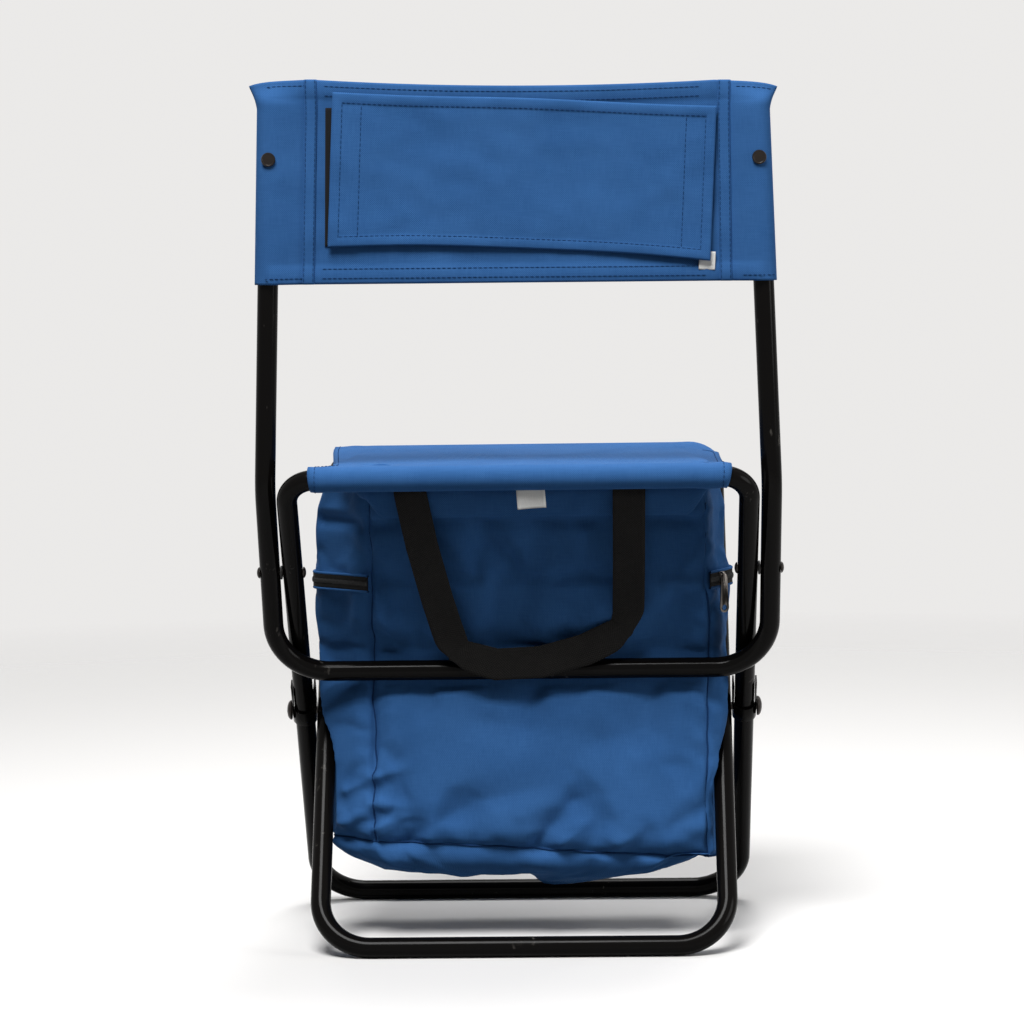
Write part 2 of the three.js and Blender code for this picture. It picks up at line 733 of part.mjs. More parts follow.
const linerFloor = bagFloor + linerInset;
const liner = cut(
  bagSlice(linerInset, linerFloor, bagFloor, linerTop),
  bagSlice(linerInset + linerWall, linerFloor + linerWall, bagFloor, linerTop + linerWall),
);
add(stool, 'bag_liner', liner, foilFoam());
add(stool, 'lid_pad', bagSlice(linerInset, linerFloor, padFoot, bagTop), foilFoam());

// Zip slider and its pull tab, on the right gusset just ahead of the rear corner
const [, gussetRear, gussetFront] = bagSection(bagLevelAt(zipHeight), 0);
const gussetRun = gussetFront.clone().sub(gussetRear).setZ(0).normalize();
const gusset = new THREE.Group();
gusset.position.copy(gussetRear).addScaledVector(gussetRun, sliderFromCorner).setZ(zipHeight);
gusset.rotation.z = Math.atan2(gussetRun.y, gussetRun.x);
stool.add(gusset);
const sliderBody = roundedPlate(sliderLength, sliderHeight, sliderThickness, sliderCorner);
const slider = add(gusset, 'zip_slider', sliderBody, gunmetal());
slider.rotation.x = Math.PI / 2;
slider.position.y = -clearance;
const pullShape = new THREE.Shape();
pullShape.absarc(0, 0, pullWidth / 2, 0, Math.PI, false);
pullShape.lineTo(-pullWidth / 2, -pullLength + pullWidth);
pullShape.absarc(0, -pullLength + pullWidth, pullWidth / 2, Math.PI, 2 * Math.PI, false);
const ringHole = new THREE.Path();
ringHole.absarc(0, -pullLength + pullWidth, pullHole / 2, 0, 2 * Math.PI, true);
pullShape.holes.push(ringHole);
const pullBody = new THREE.ExtrudeGeometry(pullShape, {
  depth: pullThickness,
  bevelEnabled: false,
  curveSegments: 8,
});
const pull = add(gusset, 'zip_pull', pullBody, gunmetal());
pull.rotation.x = Math.PI / 2;
pull.position.y = slider.position.y - sliderThickness - clearance;

// Carry handle
// A loop of flat webbing sewn to the top of the bag's rear that hangs outside the crossbar.
const webbingOff = webbingThickness / 2 + 2 * clearance;
const onBag = (height) => bagLevelAt(height).rear - webbingOff;
const offBar = crossbarY - tubeCorner - webbingThickness - 2 * clearance;
const handleTop = bagTop - 3 * webbingThickness;
const handleSewnEnd = handleTop - handleSewn;
const handleMiddle = (handleTop + handleLowest) / 2;
const handleLegEnd = handleLowest + webbingWidth;
const midway = Math.min((onBag(handleSewnEnd) + offBar) / 2, onBag(handleMiddle));
const leftLegX = (height) => handleLeftX + handleDrift * (handleTop - height) / (handleTop - handleLegEnd);
const handlePoints = [
  [handleLeftX, onBag(handleTop), handleTop],
  [leftLegX(handleSewnEnd), onBag(handleSewnEnd), handleSewnEnd],
  [leftLegX(handleMiddle), midway, handleMiddle],
  [leftLegX(handleLegEnd), offBar, handleLegEnd],
  [leftLegX(handleLegEnd) + handleLeftTurn, offBar, handleLowest + webbingWidth / 4],
  [(handleLeftX + handleRightX) / 2, offBar, handleLowest],
  [handleRightX - handleRightTurn, offBar, handleLowest + webbingWidth / 2],
  [handleRightX - handleRightDrift, offBar, handleLegEnd + webbingWidth / 4],
  [handleRightX, midway, handleMiddle],
  [handleRightX, onBag(handleSewnEnd), handleSewnEnd],
  [handleRightX, onBag(handleTop), handleTop],
].map(([x, y, z]) => new THREE.Vector3(x, y, z));

const handleRoute = new Route(handlePoints);
const hangsFree = new THREE.Vector3(0, -1, 0);
const liesOnBag = new THREE.Vector3(0, -Math.cos(backAngle), -Math.sin(backAngle));
const handleSections = handlePoints.map((point, i) => {
  const tangent = handleRoute.getTangent(i / (handlePoints.length - 1));
  const rearward = point.z < handleLegEnd ? hangsFree : liesOnBag;
  const width = new THREE.Vector3().crossVectors(rearward, tangent).normalize();
  const normal = new THREE.Vector3().crossVectors(tangent, width).normalize();
  const corner = (w, n) => point.clone()
    .addScaledVector(width, w * webbingWidth / 2)
    .addScaledVector(normal, n * webbingThickness / 2);
  return [corner(-1, -1), corner(1, -1), corner(1, 1), corner(-1, 1)];
});
add(stool, 'carry_handle', loft(handleSections), blackWebbing());

stool.add(outerFrame, innerFrame, backrest);
export default stool;
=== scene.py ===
# Folding stool with a backrest and a cooler bag under its seat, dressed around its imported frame.
# Metres, +Z up, +Y the way the sitter faces; the photograph looks along +Y at the stool's rear.
import json
import math

import bpy
import numpy as np
from mathutils import Matrix, Vector, noise
from mathutils.kdtree import KDTree


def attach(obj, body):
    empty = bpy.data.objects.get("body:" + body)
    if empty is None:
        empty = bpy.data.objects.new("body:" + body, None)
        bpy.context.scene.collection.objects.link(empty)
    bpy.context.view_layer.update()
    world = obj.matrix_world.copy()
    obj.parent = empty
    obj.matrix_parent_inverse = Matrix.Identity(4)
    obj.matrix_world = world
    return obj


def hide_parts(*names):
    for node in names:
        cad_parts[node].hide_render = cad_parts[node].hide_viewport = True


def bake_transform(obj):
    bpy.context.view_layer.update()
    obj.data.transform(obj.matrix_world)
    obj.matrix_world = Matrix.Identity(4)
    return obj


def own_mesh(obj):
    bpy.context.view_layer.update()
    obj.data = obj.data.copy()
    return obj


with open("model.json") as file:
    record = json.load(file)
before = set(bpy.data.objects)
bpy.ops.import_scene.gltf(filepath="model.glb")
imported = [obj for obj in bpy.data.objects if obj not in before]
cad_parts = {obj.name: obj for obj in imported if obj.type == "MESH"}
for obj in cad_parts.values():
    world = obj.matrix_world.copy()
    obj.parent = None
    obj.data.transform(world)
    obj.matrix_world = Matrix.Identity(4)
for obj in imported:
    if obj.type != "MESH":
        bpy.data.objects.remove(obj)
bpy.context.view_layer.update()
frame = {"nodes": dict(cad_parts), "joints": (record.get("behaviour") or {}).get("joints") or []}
bpy.context.scene.view_settings.view_transform = "Standard"


# Studio
# A wide pale floor under a pale surround, with a large soft lamp high on the left of the camera,
# a weaker one on its right and a broad one overhead. The camera stands behind the stool.
def add_node(tree, kind, inputs=(), **settings):
    made = tree.nodes.new(kind)
    for key, value in settings.items():
        setattr(made, key, value)
    for socket, value in dict(inputs).items():
        if isinstance(value, bpy.types.NodeSocket):
            tree.links.new(value, made.inputs[socket])
        else:
            made.inputs[socket].default_value = value
    return made


def maths(tree, operation, *values):
    return add_node(tree, "ShaderNodeMath", dict(enumerate(values)), operation=operation).outputs[0]


def finish_material(name, colour, roughness, **constants):
    """A new material with its Principled shader; constants are socket names with _ for a space."""
    material = bpy.data.materials.new(name)
    material.use_nodes = True
    shader = material.node_tree.nodes["Principled BSDF"]
    shader.inputs["Base Color"].default_value = (*colour, 1)
    shader.inputs["Roughness"].default_value = roughness
    for socket, value in constants.items():
        shader.inputs[socket.replace("_", " ")].default_value = value
    return material, material.node_tree, shader


def soft_lamp(name, place, target, size, power):
    lamp = bpy.data.lights.new(name, "AREA")
    lamp.shape = "DISK"
    lamp.size = size
    lamp.energy = power
    holder = bpy.data.objects.new(name, lamp)
    holder.location = place
    holder.rotation_euler = (Vector(target) - Vector(place)).to_track_quat("-Z", "Y").to_euler()
    bpy.context.scene.collection.objects.link(holder)


def seen_by_eye(tree):
    """1 for rays of the picture, straight, mirrored or through a surface, and 0 for those of the light."""
    ray = add_node(tree, "ShaderNodeLightPath").outputs
    seen = maths(tree, "ADD", ray["Is Camera Ray"], ray["Is Glossy Ray"])
    return maths(tree, "MINIMUM", maths(tree, "ADD", seen, ray["Is Transmission Ray"]), 1.0)


pale = (0.83, 0.82, 0.81)
floor_bounce = (0.16, 0.158, 0.155)
floor_size = 30
fade_from, fade_to = 0.7, 2.4
bpy.ops.object.select_all(action="DESELECT")
bpy.ops.mesh.primitive_plane_add(size=floor_size)
floor = bpy.context.object
floor.name = "studio_floor"
floor_paint, floor_tree, floor_shader = finish_material("studio_floor", pale, 0.7)
floor_mottle = add_node(floor_tree, "ShaderNodeTexNoise", {"Scale": 3.0, "Detail": 4.0})
floor_tone = add_node(floor_tree, "ShaderNodeMapRange", {0: floor_mottle.outputs[0], 3: 0.66, 4: 0.74})
floor_tree.links.new(floor_tone.outputs[0], floor_shader.inputs["Roughness"])
floor_colour = add_node(
    floor_tree, "ShaderNodeMix",
    {0: seen_by_eye(floor_tree), 6: (*floor_bounce, 1), 7: (*pale, 1)}, data_type="RGBA",
)
floor_tree.links.new(floor_colour.outputs[2], floor_shader.inputs["Base Color"])
floor_place = add_node(floor_tree, "ShaderNodeTexCoord").outputs["Object"]
floor_reach = add_node(floor_tree, "ShaderNodeVectorMath", {0: floor_place}, operation="LENGTH")
floor_fade = add_node(
    floor_tree, "ShaderNodeMapRange", {0: floor_reach.outputs["Value"], 1: fade_from, 2: fade_to},
)
floor_clear = add_node(floor_tree, "ShaderNodeBsdfTransparent")
floor_mix = add_node(
    floor_tree, "ShaderNodeMixShader",
    {0: floor_fade.outputs[0], 1: floor_shader.outputs[0], 2: floor_clear.outputs[0]},
)
floor_tree.links.new(floor_mix.outputs[0], floor_tree.nodes["Material Output"].inputs["Surface"])
floor.data.materials.append(floor_paint)

surround_glow = 0.03
world = bpy.data.worlds.new("studio_surround")
bpy.context.scene.world = world
world.use_nodes = True
surround = world.node_tree
surround_seen = add_node(surround, "ShaderNodeBackground", {"Color": (*pale, 1), "Strength": 1.0})
surround_light = surround.nodes["Background"]
surround_light.inputs["Color"].default_value = (1, 1, 1, 1)
surround_light.inputs["Strength"].default_value = surround_glow
surround_mix = add_node(
    surround, "ShaderNodeMixShader",
    {0: seen_by_eye(surround), 1: surround_light.outputs[0], 2: surround_seen.outputs[0]},
)
surround.links.new(surround_mix.outputs[0], surround.nodes["World Output"].inputs["Surface"])

middle_of_stool = (0, 0, 0.36)
soft_lamp("key_lamp", (-0.45, -1.62, 3.0), middle_of_stool, size=1.5, power=130)
soft_lamp("fill_lamp", (2.2, -0.9, 0.9), middle_of_stool, size=1.2, power=16)
soft_lamp("top_lamp", (0.4, 0.9, 2.6), middle_of_stool, size=1.6, power=46)

image_width = 1024
focal_pixels = 3376
eye_place = Vector((0.0611, -2.7222, 0.5506))
yaw, pitch, roll = -0.0253, 0.0775, -0.0132
forward = Vector((math.sin(yaw) * math.cos(pitch), math.cos(yaw) * math.cos(pitch), -math.sin(pitch)))
level = Vector((math.cos(yaw), -math.sin(yaw), 0))
upright = level.cross(forward)
eye_right = level * math.cos(roll) + upright * math.sin(roll)
eye_up = upright * math.cos(roll) - level * math.sin(roll)
lens = bpy.data.cameras.new("photo_camera")
lens.lens = focal_pixels / image_width * lens.sensor_width
eye = bpy.data.objects.new("photo_camera", lens)
eye.matrix_world = Matrix((eye_right, eye_up, -forward)).transposed().to_4x4()
eye.location = eye_place
bpy.context.scene.collection.objects.link(eye)
bpy.context.scene.camera = eye


# Leg frames
# Two loops of 16 mm steel tube, bent cold and stoved in gloss black, crossed and pivoted on each
# other: the outer loop holds the rear seat bar, the inner one the front seat bar.
def effect_group(name, inputs, outputs):
    """An empty effect with named sockets, and its input and output nodes."""
    group = bpy.data.node_groups.new(name, "ShaderNodeTree")
    for socket, kind, value in inputs:
        made = group.interface.new_socket(socket, in_out="INPUT", socket_type=kind)
        if value is not None:
            made.default_value = value
    for socket in outputs:
        group.interface.new_socket(socket, in_out="OUTPUT", socket_type="NodeSocketFloat")
    return group, group.nodes.new("NodeGroupInput"), group.nodes.new("NodeGroupOutput")


def mixed(tree, factor, first, second):
    colours = {0: factor, 6: (*first, 1), 7: (*second, 1)}
    return add_node(tree, "ShaderNodeMix", colours, data_type="RGBA").outputs[2]


def bump(tree, shader, height, strength, depth):
    relief = add_node(tree, "ShaderNodeBump", {"Strength": strength, "Distance": depth, "Height": height})
    tree.links.new(relief.outputs[0], shader.inputs["Normal"])


# Handling marks: fine grain, cloudy dullness and sparse pale scuffs
marks, marks_in, marks_out = effect_group(
    "handling_marks",
    [
        ("Place", "NodeSocketVector", None), ("Grain", "NodeSocketFloat", 900.0),
        ("Scuffs", "NodeSocketFloat", 0.68),
    ],
    ["Height", "Dull", "Scuff"],
)
grain = add_node(
    marks, "ShaderNodeTexNoise",
    {"Vector": marks_in.outputs["Place"], "Scale": marks_in.outputs["Grain"], "Detail": 2.0},
)
cloud = add_node(
    marks, "ShaderNodeTexNoise", {"Vector": marks_in.outputs["Place"], "Scale": 26.0, "Detail": 5.0},
)
streak_place = add_node(
    marks, "ShaderNodeMapping", {"Vector": marks_in.outputs["Place"], "Scale": (210.0, 300.0, 90.0)},
)
streak = add_node(
    marks, "ShaderNodeTexNoise", {"Vector": streak_place.outputs[0], "Scale": 1.0, "Detail": 3.0},
)
scuff = maths(marks, "MULTIPLY", maths(marks, "MULTIPLY", streak.outputs[0], cloud.outputs[0]), 2.0)
scuff = add_node(
    marks, "ShaderNodeMapRange", {0: scuff, 1: marks_in.outputs["Scuffs"], 2: 0.95},
).outputs[0]
for socket, value in (("Height", grain.outputs[0]), ("Dull", cloud.outputs[0]), ("Scuff", scuff)):
    marks.links.new(value, marks_out.inputs[socket])


def coated_metal(name, colour, worn, gloss, dull, scuffs, **constants):
    """Paint or plating: slightly uneven gloss, a fine skin and a few worn marks."""
    material, tree, shader = finish_material(name, colour, gloss, **constants)
    place = add_node(tree, "ShaderNodeTexCoord").outputs["Object"]
    sockets = {"Place": place, "Grain": 700.0, "Scuffs": scuffs}
    wear = add_node(tree, "ShaderNodeGroup", sockets, node_tree=marks).outputs
    tree.links.new(mixed(tree, wear["Scuff"], colour, worn), shader.inputs["Base Color"])
    rough = add_node(tree, "ShaderNodeMapRange", {0: wear["Dull"], 1: 0.3, 2: 0.7, 3: gloss, 4: dull})
    tree.links.new(rough.outputs[0], shader.inputs["Roughness"])
    bump(tree, shader, wear["Height"], strength=0.05, depth=0.0002)
    return material


def bent_tube(name, corners, bend_radii, radius, sides=40, step=math.radians(5)):
    """A tube drawn from the first corner to the last, with a round bend at each corner between."""
    corners = [Vector(corner) for corner in corners]
    heading = (corners[1] - corners[0]).normalized()
    bpy.ops.object.select_all(action="DESELECT")
    bpy.ops.mesh.primitive_circle_add(
        vertices=sides, radius=radius, location=corners[0],
        rotation=heading.to_track_quat("Z", "Y").to_euler(),
    )
    tube = bpy.context.object
    tube.name = name
    bpy.ops.object.transform_apply(location=True, rotation=True, scale=True)
    bpy.ops.object.mode_set(mode="EDIT")
    bpy.ops.mesh.select_all(action="SELECT")
    here = corners[0]
    for i, bend in enumerate(bend_radii, 1):
        inward = (corners[i] - corners[i - 1]).normalized()
        outward = (corners[i + 1] - corners[i]).normalized()
        turn = inward.angle(outward)
        axis = inward.cross(outward).normalized()
        start = corners[i] - inward * bend * math.tan(turn / 2)
        bpy.ops.mesh.extrude_region_move(TRANSFORM_OT_translate={"value": start - here})
        bpy.ops.mesh.spin(
            steps=max(3, round(turn / step)), angle=-turn,
            center=start + axis.cross(inward) * bend, axis=axis,
        )
        here = corners[i] + outward * bend * math.tan(turn / 2)
    bpy.ops.mesh.extrude_region_move(TRANSFORM_OT_translate={"value": corners[-1] - here})
    bpy.ops.mesh.select_all(action="SELECT")
    bpy.ops.mesh.remove_doubles(threshold=0.00001)
    bpy.ops.mesh.normals_make_consistent(inside=False)
    bpy.ops.object.mode_set(mode="OBJECT")
    bpy.ops.object.shade_smooth()
    return tube


def coat(piece, material):
    piece.data.materials.clear()
    piece.data.materials.append(material)


def dress(piece, material, slot, body=None, *nodes):
    """Gives a finished piece its material, its body and the nodes that it stands for; the slot is not used.
    """
    coat(piece, material)
    if nodes:
        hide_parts(*nodes)
    if body:
        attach(piece, body)
    return piece


black_paint = coated_metal(
    "black_stove_paint", (0.0035, 0.003, 0.0028), worn=(0.06, 0.055, 0.05),
    gloss=0.10, dull=0.2, scuffs=0.8, Metallic=0.0, Specular_IOR_Level=0.055,
)
joint_at = {joint["name"]: Vector(joint.get("pos_m", (0, 0, 0))) for joint in frame["joints"]}
pivot_height = joint_at["leg_fold"].z
tube_radius = 0.008
seat_bar_height = 0.376
seat_bar_reach = 0.138
floor_bar_reach = 0.1205
seat_corner = 0.022
floor_corner = 0.040
outer_half = 0.1785
inner_half = 0.1601


def leg_loop(name, half, seat_y, floor_y):
    seat_bar = (seat_y, seat_bar_height)
    floor_bar = (floor_y, tube_radius)
    corners = [(0, *seat_bar), (half, *seat_bar), (half, *floor_bar)]
    corners += [(-half, *floor_bar), (-half, *seat_bar), (0, *seat_bar)]
    return bent_tube(name, corners, (seat_corner, floor_corner, floor_corner, seat_corner), tube_radius)


outer_loop = leg_loop("outer_leg_loop", outer_half, -seat_bar_reach, floor_bar_reach)
dress(outer_loop, black_paint, "painted_steel", "outer_frame", "outer_leg_tube")
inner_loop = leg_loop("inner_leg_loop", inner_half, seat_bar_reach, -floor_bar_reach)
dress(inner_loop, black_paint, "painted_steel", "inner_frame", "inner_leg_tube")

# Joining pins
# Short pins of zinc plated steel, driven into the tube's two ends where each loop closes. They lie
# hidden inside the seat's sleeves.
bare_zinc = coated_metal(
    "zinc_plate", (0.55, 0.55, 0.54), worn=(0.3, 0.29, 0.27), gloss=0.32, dull=0.5, scuffs=0.7,
    Metallic=1.0,
)
for pin in ("outer_tube_joiner", "inner_tube_joiner"):
    coat(frame["nodes"][pin], bare_zinc)

# Backrest tube
# One more tube bent to a U. Its crossbar bears on the rear of the outer legs, its uprights turn
# upright above the hinge and draw in a little towards the top.
back_hinge = joint_at["backrest_fold"]
half_back = 0.1965
crossbar_y, crossbar_height = -0.04918, 0.21727
bend_y, bend_height = -0.11330, 0.367
upright_top = 0.658
upright_draw_in = 0.010
back_bend = 0.060
back_corner = 0.043
lean = math.radians(1)
upright_length = (upright_top - bend_height) / math.cos(lean)
up_back = Vector((0, -math.sin(lean), math.cos(lean)))
out_back = Vector((0, -math.cos(lean), -math.sin(lean)))


def along_at(height):
    return (height - bend_height) / math.cos(lean)


def upright_x(along):
    return half_back - upright_draw_in * along / upright_length


def on_back(x, along, out):
    """A point on the backrest: x across, along the uprights from their bend, out to the rear."""
    return Vector((x, bend_y, bend_height)) + up_back * along + out_back * out


back_corners = [
    on_back(-upright_x(upright_length), upright_length, 0), on_back(-half_back, 0, 0),
    (-half_back, crossbar_y, crossbar_height), (half_back, crossbar_y, crossbar_height),
    on_back(half_back, 0, 0), on_back(upright_x(upright_length), upright_length, 0),
]
back_tube = bent_tube(
    "backrest_u_tube", back_corners, (back_bend, back_corner, back_corner, back_bend), tube_radius,
)
dress(back_tube, black_paint, "painted_steel", "backrest", "backrest_tube")

# Upright plugs
# Plugs moulded in black plastic and pushed into the open tops of the uprights, where they keep the
# tube's edge off the cloth. The cover's sleeves hide them.
black_plastic = coated_metal(
    "black_moulding", (0.014, 0.014, 0.014), worn=(0.05, 0.05, 0.05), gloss=0.4, dull=0.55, scuffs=0.8,
    Metallic=0.0, Specular_IOR_Level=0.25,
)
for side in ("left", "right"):
    coat(frame["nodes"][f"upright_plug_{side}"], black_plastic)


# Rivets and spacers
# Dark coated rivets with domed heads: two through the leg crossing, and two through the uprights
# and outer legs, where a plastic spacer keeps the tubes apart.
def turned(name, profile, sides=40):
    """A turned piece on the X axis: a ring drawn along it and scaled at each (radius, along) step."""
    radius, along = profile[0]
    bpy.ops.object.select_all(action="DESELECT")
    bpy.ops.mesh.primitive_circle_add(
        vertices=sides, radius=radius, location=(along, 0, 0), rotation=(0, math.pi / 2, 0),
    )
    piece = bpy.context.object
    piece.name = name
    bpy.ops.object.transform_apply(location=True, rotation=True, scale=True)
    bpy.ops.object.mode_set(mode="EDIT")
    bpy.ops.mesh.select_all(action="SELECT")
    for next_radius, next_along in profile[1:]:
        bpy.ops.mesh.extrude_region_move(TRANSFORM_OT_translate={"value": (next_along - along, 0, 0)})
        scale = next_radius / radius
        bpy.ops.transform.resize(value=(1, scale, scale), center_override=(next_along, 0, 0))
        radius, along = next_radius, next_along
    bpy.ops.mesh.select_all(action="DESELECT")
    bpy.ops.mesh.select_non_manifold()
    bpy.ops.mesh.fill_holes(sides=0)
    bpy.ops.mesh.select_all(action="SELECT")
    bpy.ops.mesh.normals_make_consistent(inside=False)
    bpy.ops.object.mode_set(mode="OBJECT")
    return piece


def take_up(piece):
    bpy.ops.object.select_all(action="DESELECT")
    bpy.context.view_layer.objects.active = piece
    piece.select_set(True)


def settle(piece, place=(0, 0, 0), turn=(0, 0, 0), smooth=math.radians(35)):
    """Puts a piece in its place, with the place in its mesh and its sharp edges kept."""
    take_up(piece)
    piece.location = place
    piece.rotation_euler = turn
    bpy.ops.object.transform_apply(location=True, rotation=True, scale=True)
    bpy.ops.object.shade_smooth_by_angle(angle=smooth)
    return piece


def domed(radius, height, face, steps=7):
    """The profile of a rounded head from its rim on a face; a negative height faces the other way."""
    angles = [i / steps * math.radians(86) for i in range(steps + 1)]
    return [(radius * math.cos(a), face + height * math.sin(a)) for a in angles]


dark_rivet = coated_metal(
    "dark_rivet_coat", (0.016, 0.012, 0.010), worn=(0.12, 0.11, 0.10), gloss=0.3, dull=0.45, scuffs=0.72,
    Metallic=0.3, Specular_IOR_Level=0.25,
)
beside_tube = tube_radius + 0.0002
saddle_wall = 0.0021
pivot_shank, pivot_tail, pivot_tail_rise = 0.003, 0.0058, 0.0018
pivot_head, pivot_head_rise, pivot_rim, pivot_rim_rise = 0.008, 0.0036, 0.0076, 0.0005
pivot_outer_face = outer_half + beside_tube + saddle_wall
pivot_inner_face = inner_half - beside_tube
pivot_profile = domed(pivot_tail, -pivot_tail_rise, pivot_inner_face)[::-1]
pivot_profile += [(pivot_shank, pivot_inner_face), (pivot_shank, pivot_outer_face)]
pivot_profile += [(pivot_rim, pivot_outer_face)]
pivot_profile += domed(pivot_head, pivot_head_rise, pivot_outer_face + pivot_rim_rise)
hinge_shank, hinge_head, hinge_rise = 0.0025, 0.0045, 0.0022
hinge_outer_face = half_back + beside_tube
hinge_inner_face = outer_half - beside_tube
hinge_profile = domed(hinge_head, -hinge_rise, hinge_inner_face)[::-1]
hinge_profile += [(hinge_shank, hinge_inner_face), (hinge_shank, hinge_outer_face)]
hinge_profile += domed(hinge_head, hinge_rise, hinge_outer_face)
spacer_radius, spacer_rim, spacer_edge = 0.0055, 0.0049, 0.0003
spacer_inner, spacer_outer = outer_half + beside_tube, half_back - beside_tube
spacer_profile = [(spacer_rim, spacer_inner), (spacer_radius, spacer_inner + spacer_edge)]
spacer_profile += [(spacer_radius, spacer_outer - spacer_edge), (spacer_rim, spacer_outer)]
pivot_place = (0, 0, pivot_height)
for side, turn in (("left", math.pi), ("right", 0)):
    rivet = settle(turned(f"leg_rivet_{side}", pivot_profile), pivot_place, (0, 0, turn))
    dress(rivet, dark_rivet, "dark_rivet", "outer_frame", f"leg_pivot_rivet_{side}")
    rivet = settle(turned(f"hinge_rivet_{side}", hinge_profile, 28), back_hinge, (0, 0, turn))
    dress(rivet, dark_rivet, "dark_rivet", "outer_frame", f"backrest_rivet_{side}")
    spacer = settle(turned(f"hinge_spacer_{side}", spacer_profile, 28), back_hinge, (0, 0, turn))
    dress(spacer, black_plastic, "black_plastic", "outer_frame", f"backrest_spacer_{side}")


# Stop saddles
# A strip of 1.5 mm steel bent round the rear of each outer leg at the crossing, with an ear on
# each side that runs up beside the leg; painted with the frame.
def worked_copy(node, name, bevel):
    """A copy of a frame node with its faces joined up again and its edges eased."""
    piece = bpy.data.objects.new(name, frame["nodes"][node].data.copy())
    bpy.context.scene.collection.objects.link(piece)
    take_up(piece)
    bpy.ops.object.mode_set(mode="EDIT")
    bpy.ops.mesh.select_all(action="SELECT")
    bpy.ops.mesh.remove_doubles(threshold=0.00001)
    bpy.ops.mesh.dissolve_limited(angle_limit=math.radians(2))
    bpy.ops.object.mode_set(mode="OBJECT")
    ease = piece.modifiers.new("eased_edges", "BEVEL")
    ease.width = bevel
    ease.segments = 2
    ease.limit_method = "ANGLE"
    ease.angle_limit = math.radians(40)
    bpy.ops.object.modifier_apply(modifier=ease.name)
    return settle(piece, smooth=math.radians(40))


for side in ("left", "right"):
    saddle = worked_copy(f"stop_saddle_{side}", f"leg_saddle_{side}", bevel=0.0004)
    dress(saddle, black_paint, "painted_steel", "outer_frame", f"stop_saddle_{side}")


# Backrest cover
# Two layers of coated polyester, hemmed at the top and bottom and sewn together beside each upright,
# so that its ends are sleeves pushed over the tubes. Above the tubes the sleeves lie flat as ears.
weave, weave_in, weave_out = effect_group(
    "plain_weave",
    [("Place", "NodeSocketVector", None), ("Pitch", "NodeSocketFloat", 0.0009)],
    ["Height", "Tone_and_crest_shade"],
)
thread_axes = add_node(weave, "ShaderNodeSeparateXYZ", {0: weave_in.outputs["Place"]})
thread_turns = maths(weave, "DIVIDE", 2 * math.pi, weave_in.outputs["Pitch"])
warp = maths(weave, "SINE", maths(weave, "MULTIPLY", thread_axes.outputs["X"], thread_turns))
weft = maths(weave, "SINE", maths(weave, "MULTIPLY", thread_axes.outputs["Y"], thread_turns))
crossings = maths(weave, "MULTIPLY_ADD", maths(weave, "MULTIPLY", warp, weft), 0.5, 0.5)
# The crossings also go into the tone: painted shade, lighter on the thread crests and darker between them,
# mixed with the random slub tone below.
thread_tone_and_crest_shade = maths(weave, "MULTIPLY", crossings, 0.3)
for stretch, share in (((70, 1000, 1), 0.2), ((1000, 70, 1), 0.2), ((16, 16, 1), 0.3)):
    drawn = add_node(weave, "ShaderNodeMapping", {"Vector": weave_in.outputs["Place"], "Scale": stretch})
    slub = add_node(
        weave, "ShaderNodeTexNoise", {"Vector": drawn.outputs[0], "Scale": 1.0, "Detail": 3.0},
    )
    thread_tone_and_crest_shade = maths(weave, "MULTIPLY_ADD", slub.outputs[0], share, thread_tone_and_crest_shade)
weave.links.new(crossings, weave_out.inputs["Height"])
weave.links.new(thread_tone_and_crest_shade, weave_out.inputs["Tone_and_crest_shade"])


def cloth_finish(name, shade, lit, pitch, relief, roughness, place="UV", **constants):
    """Woven threads: uneven in tone, raised where they cross, with painted shade that makes the crests
    lighter and the dips darker, on a map or a place in metres.
    """
    material, tree, shader = finish_material(name, lit, roughness, **constants)
    sockets = {"Place": add_node(tree, "ShaderNodeTexCoord").outputs[place], "Pitch": pitch}
    threads = add_node(tree, "ShaderNodeGroup", sockets, node_tree=weave).outputs
    tone = add_node(tree, "ShaderNodeMapRange", {0: threads["Tone_and_crest_shade"], 1: 0.36, 2: 0.64})
    tree.links.new(mixed(tree, tone.outputs[0], shade, lit), shader.inputs["Base Color"])
    between, on_top = roughness + 0.1, roughness - 0.06
    rough = add_node(tree, "ShaderNodeMapRange", {0: threads["Height"], 3: between, 4: on_top})
    tree.links.new(rough.outputs[0], shader.inputs["Roughness"])
    bump(tree, shader, threads["Height"], strength=relief, depth=0.0003)
    return material


def clamped(t):
    return min(max(t, 0), 1)


def eased(t):
    t = clamped(t)
    return t * t * (3 - 2 * t)


def ripple_at(*place):
    """A smooth wave without a pattern, between about -1 and 1."""
    return noise.noise(Vector(place))


def cloth_grid(name, columns, rows, cut, place):
    """A cut piece of cloth with its threads along its map in metres, laid where place(u, v) says."""
    bpy.ops.object.select_all(action="DESELECT")
    bpy.ops.mesh.primitive_grid_add(x_subdivisions=columns, y_subdivisions=rows, size=1)
    piece = bpy.context.object
    piece.name = name
    for spot in piece.data.uv_layers.active.data:
        spot.uv = (spot.uv.x * cut[0], spot.uv.y * cut[1])
    for point in piece.data.vertices:
        point.co = place(point.co.x + 0.5, point.co.y + 0.5)
    return piece


def apply_modifier(piece, kind, **settings):
    take_up(piece)
    made = piece.modifiers.new(kind.lower(), kind)
    for key, value in settings.items():
        setattr(made, key, value)
    bpy.ops.object.modifier_apply(modifier=made.name)


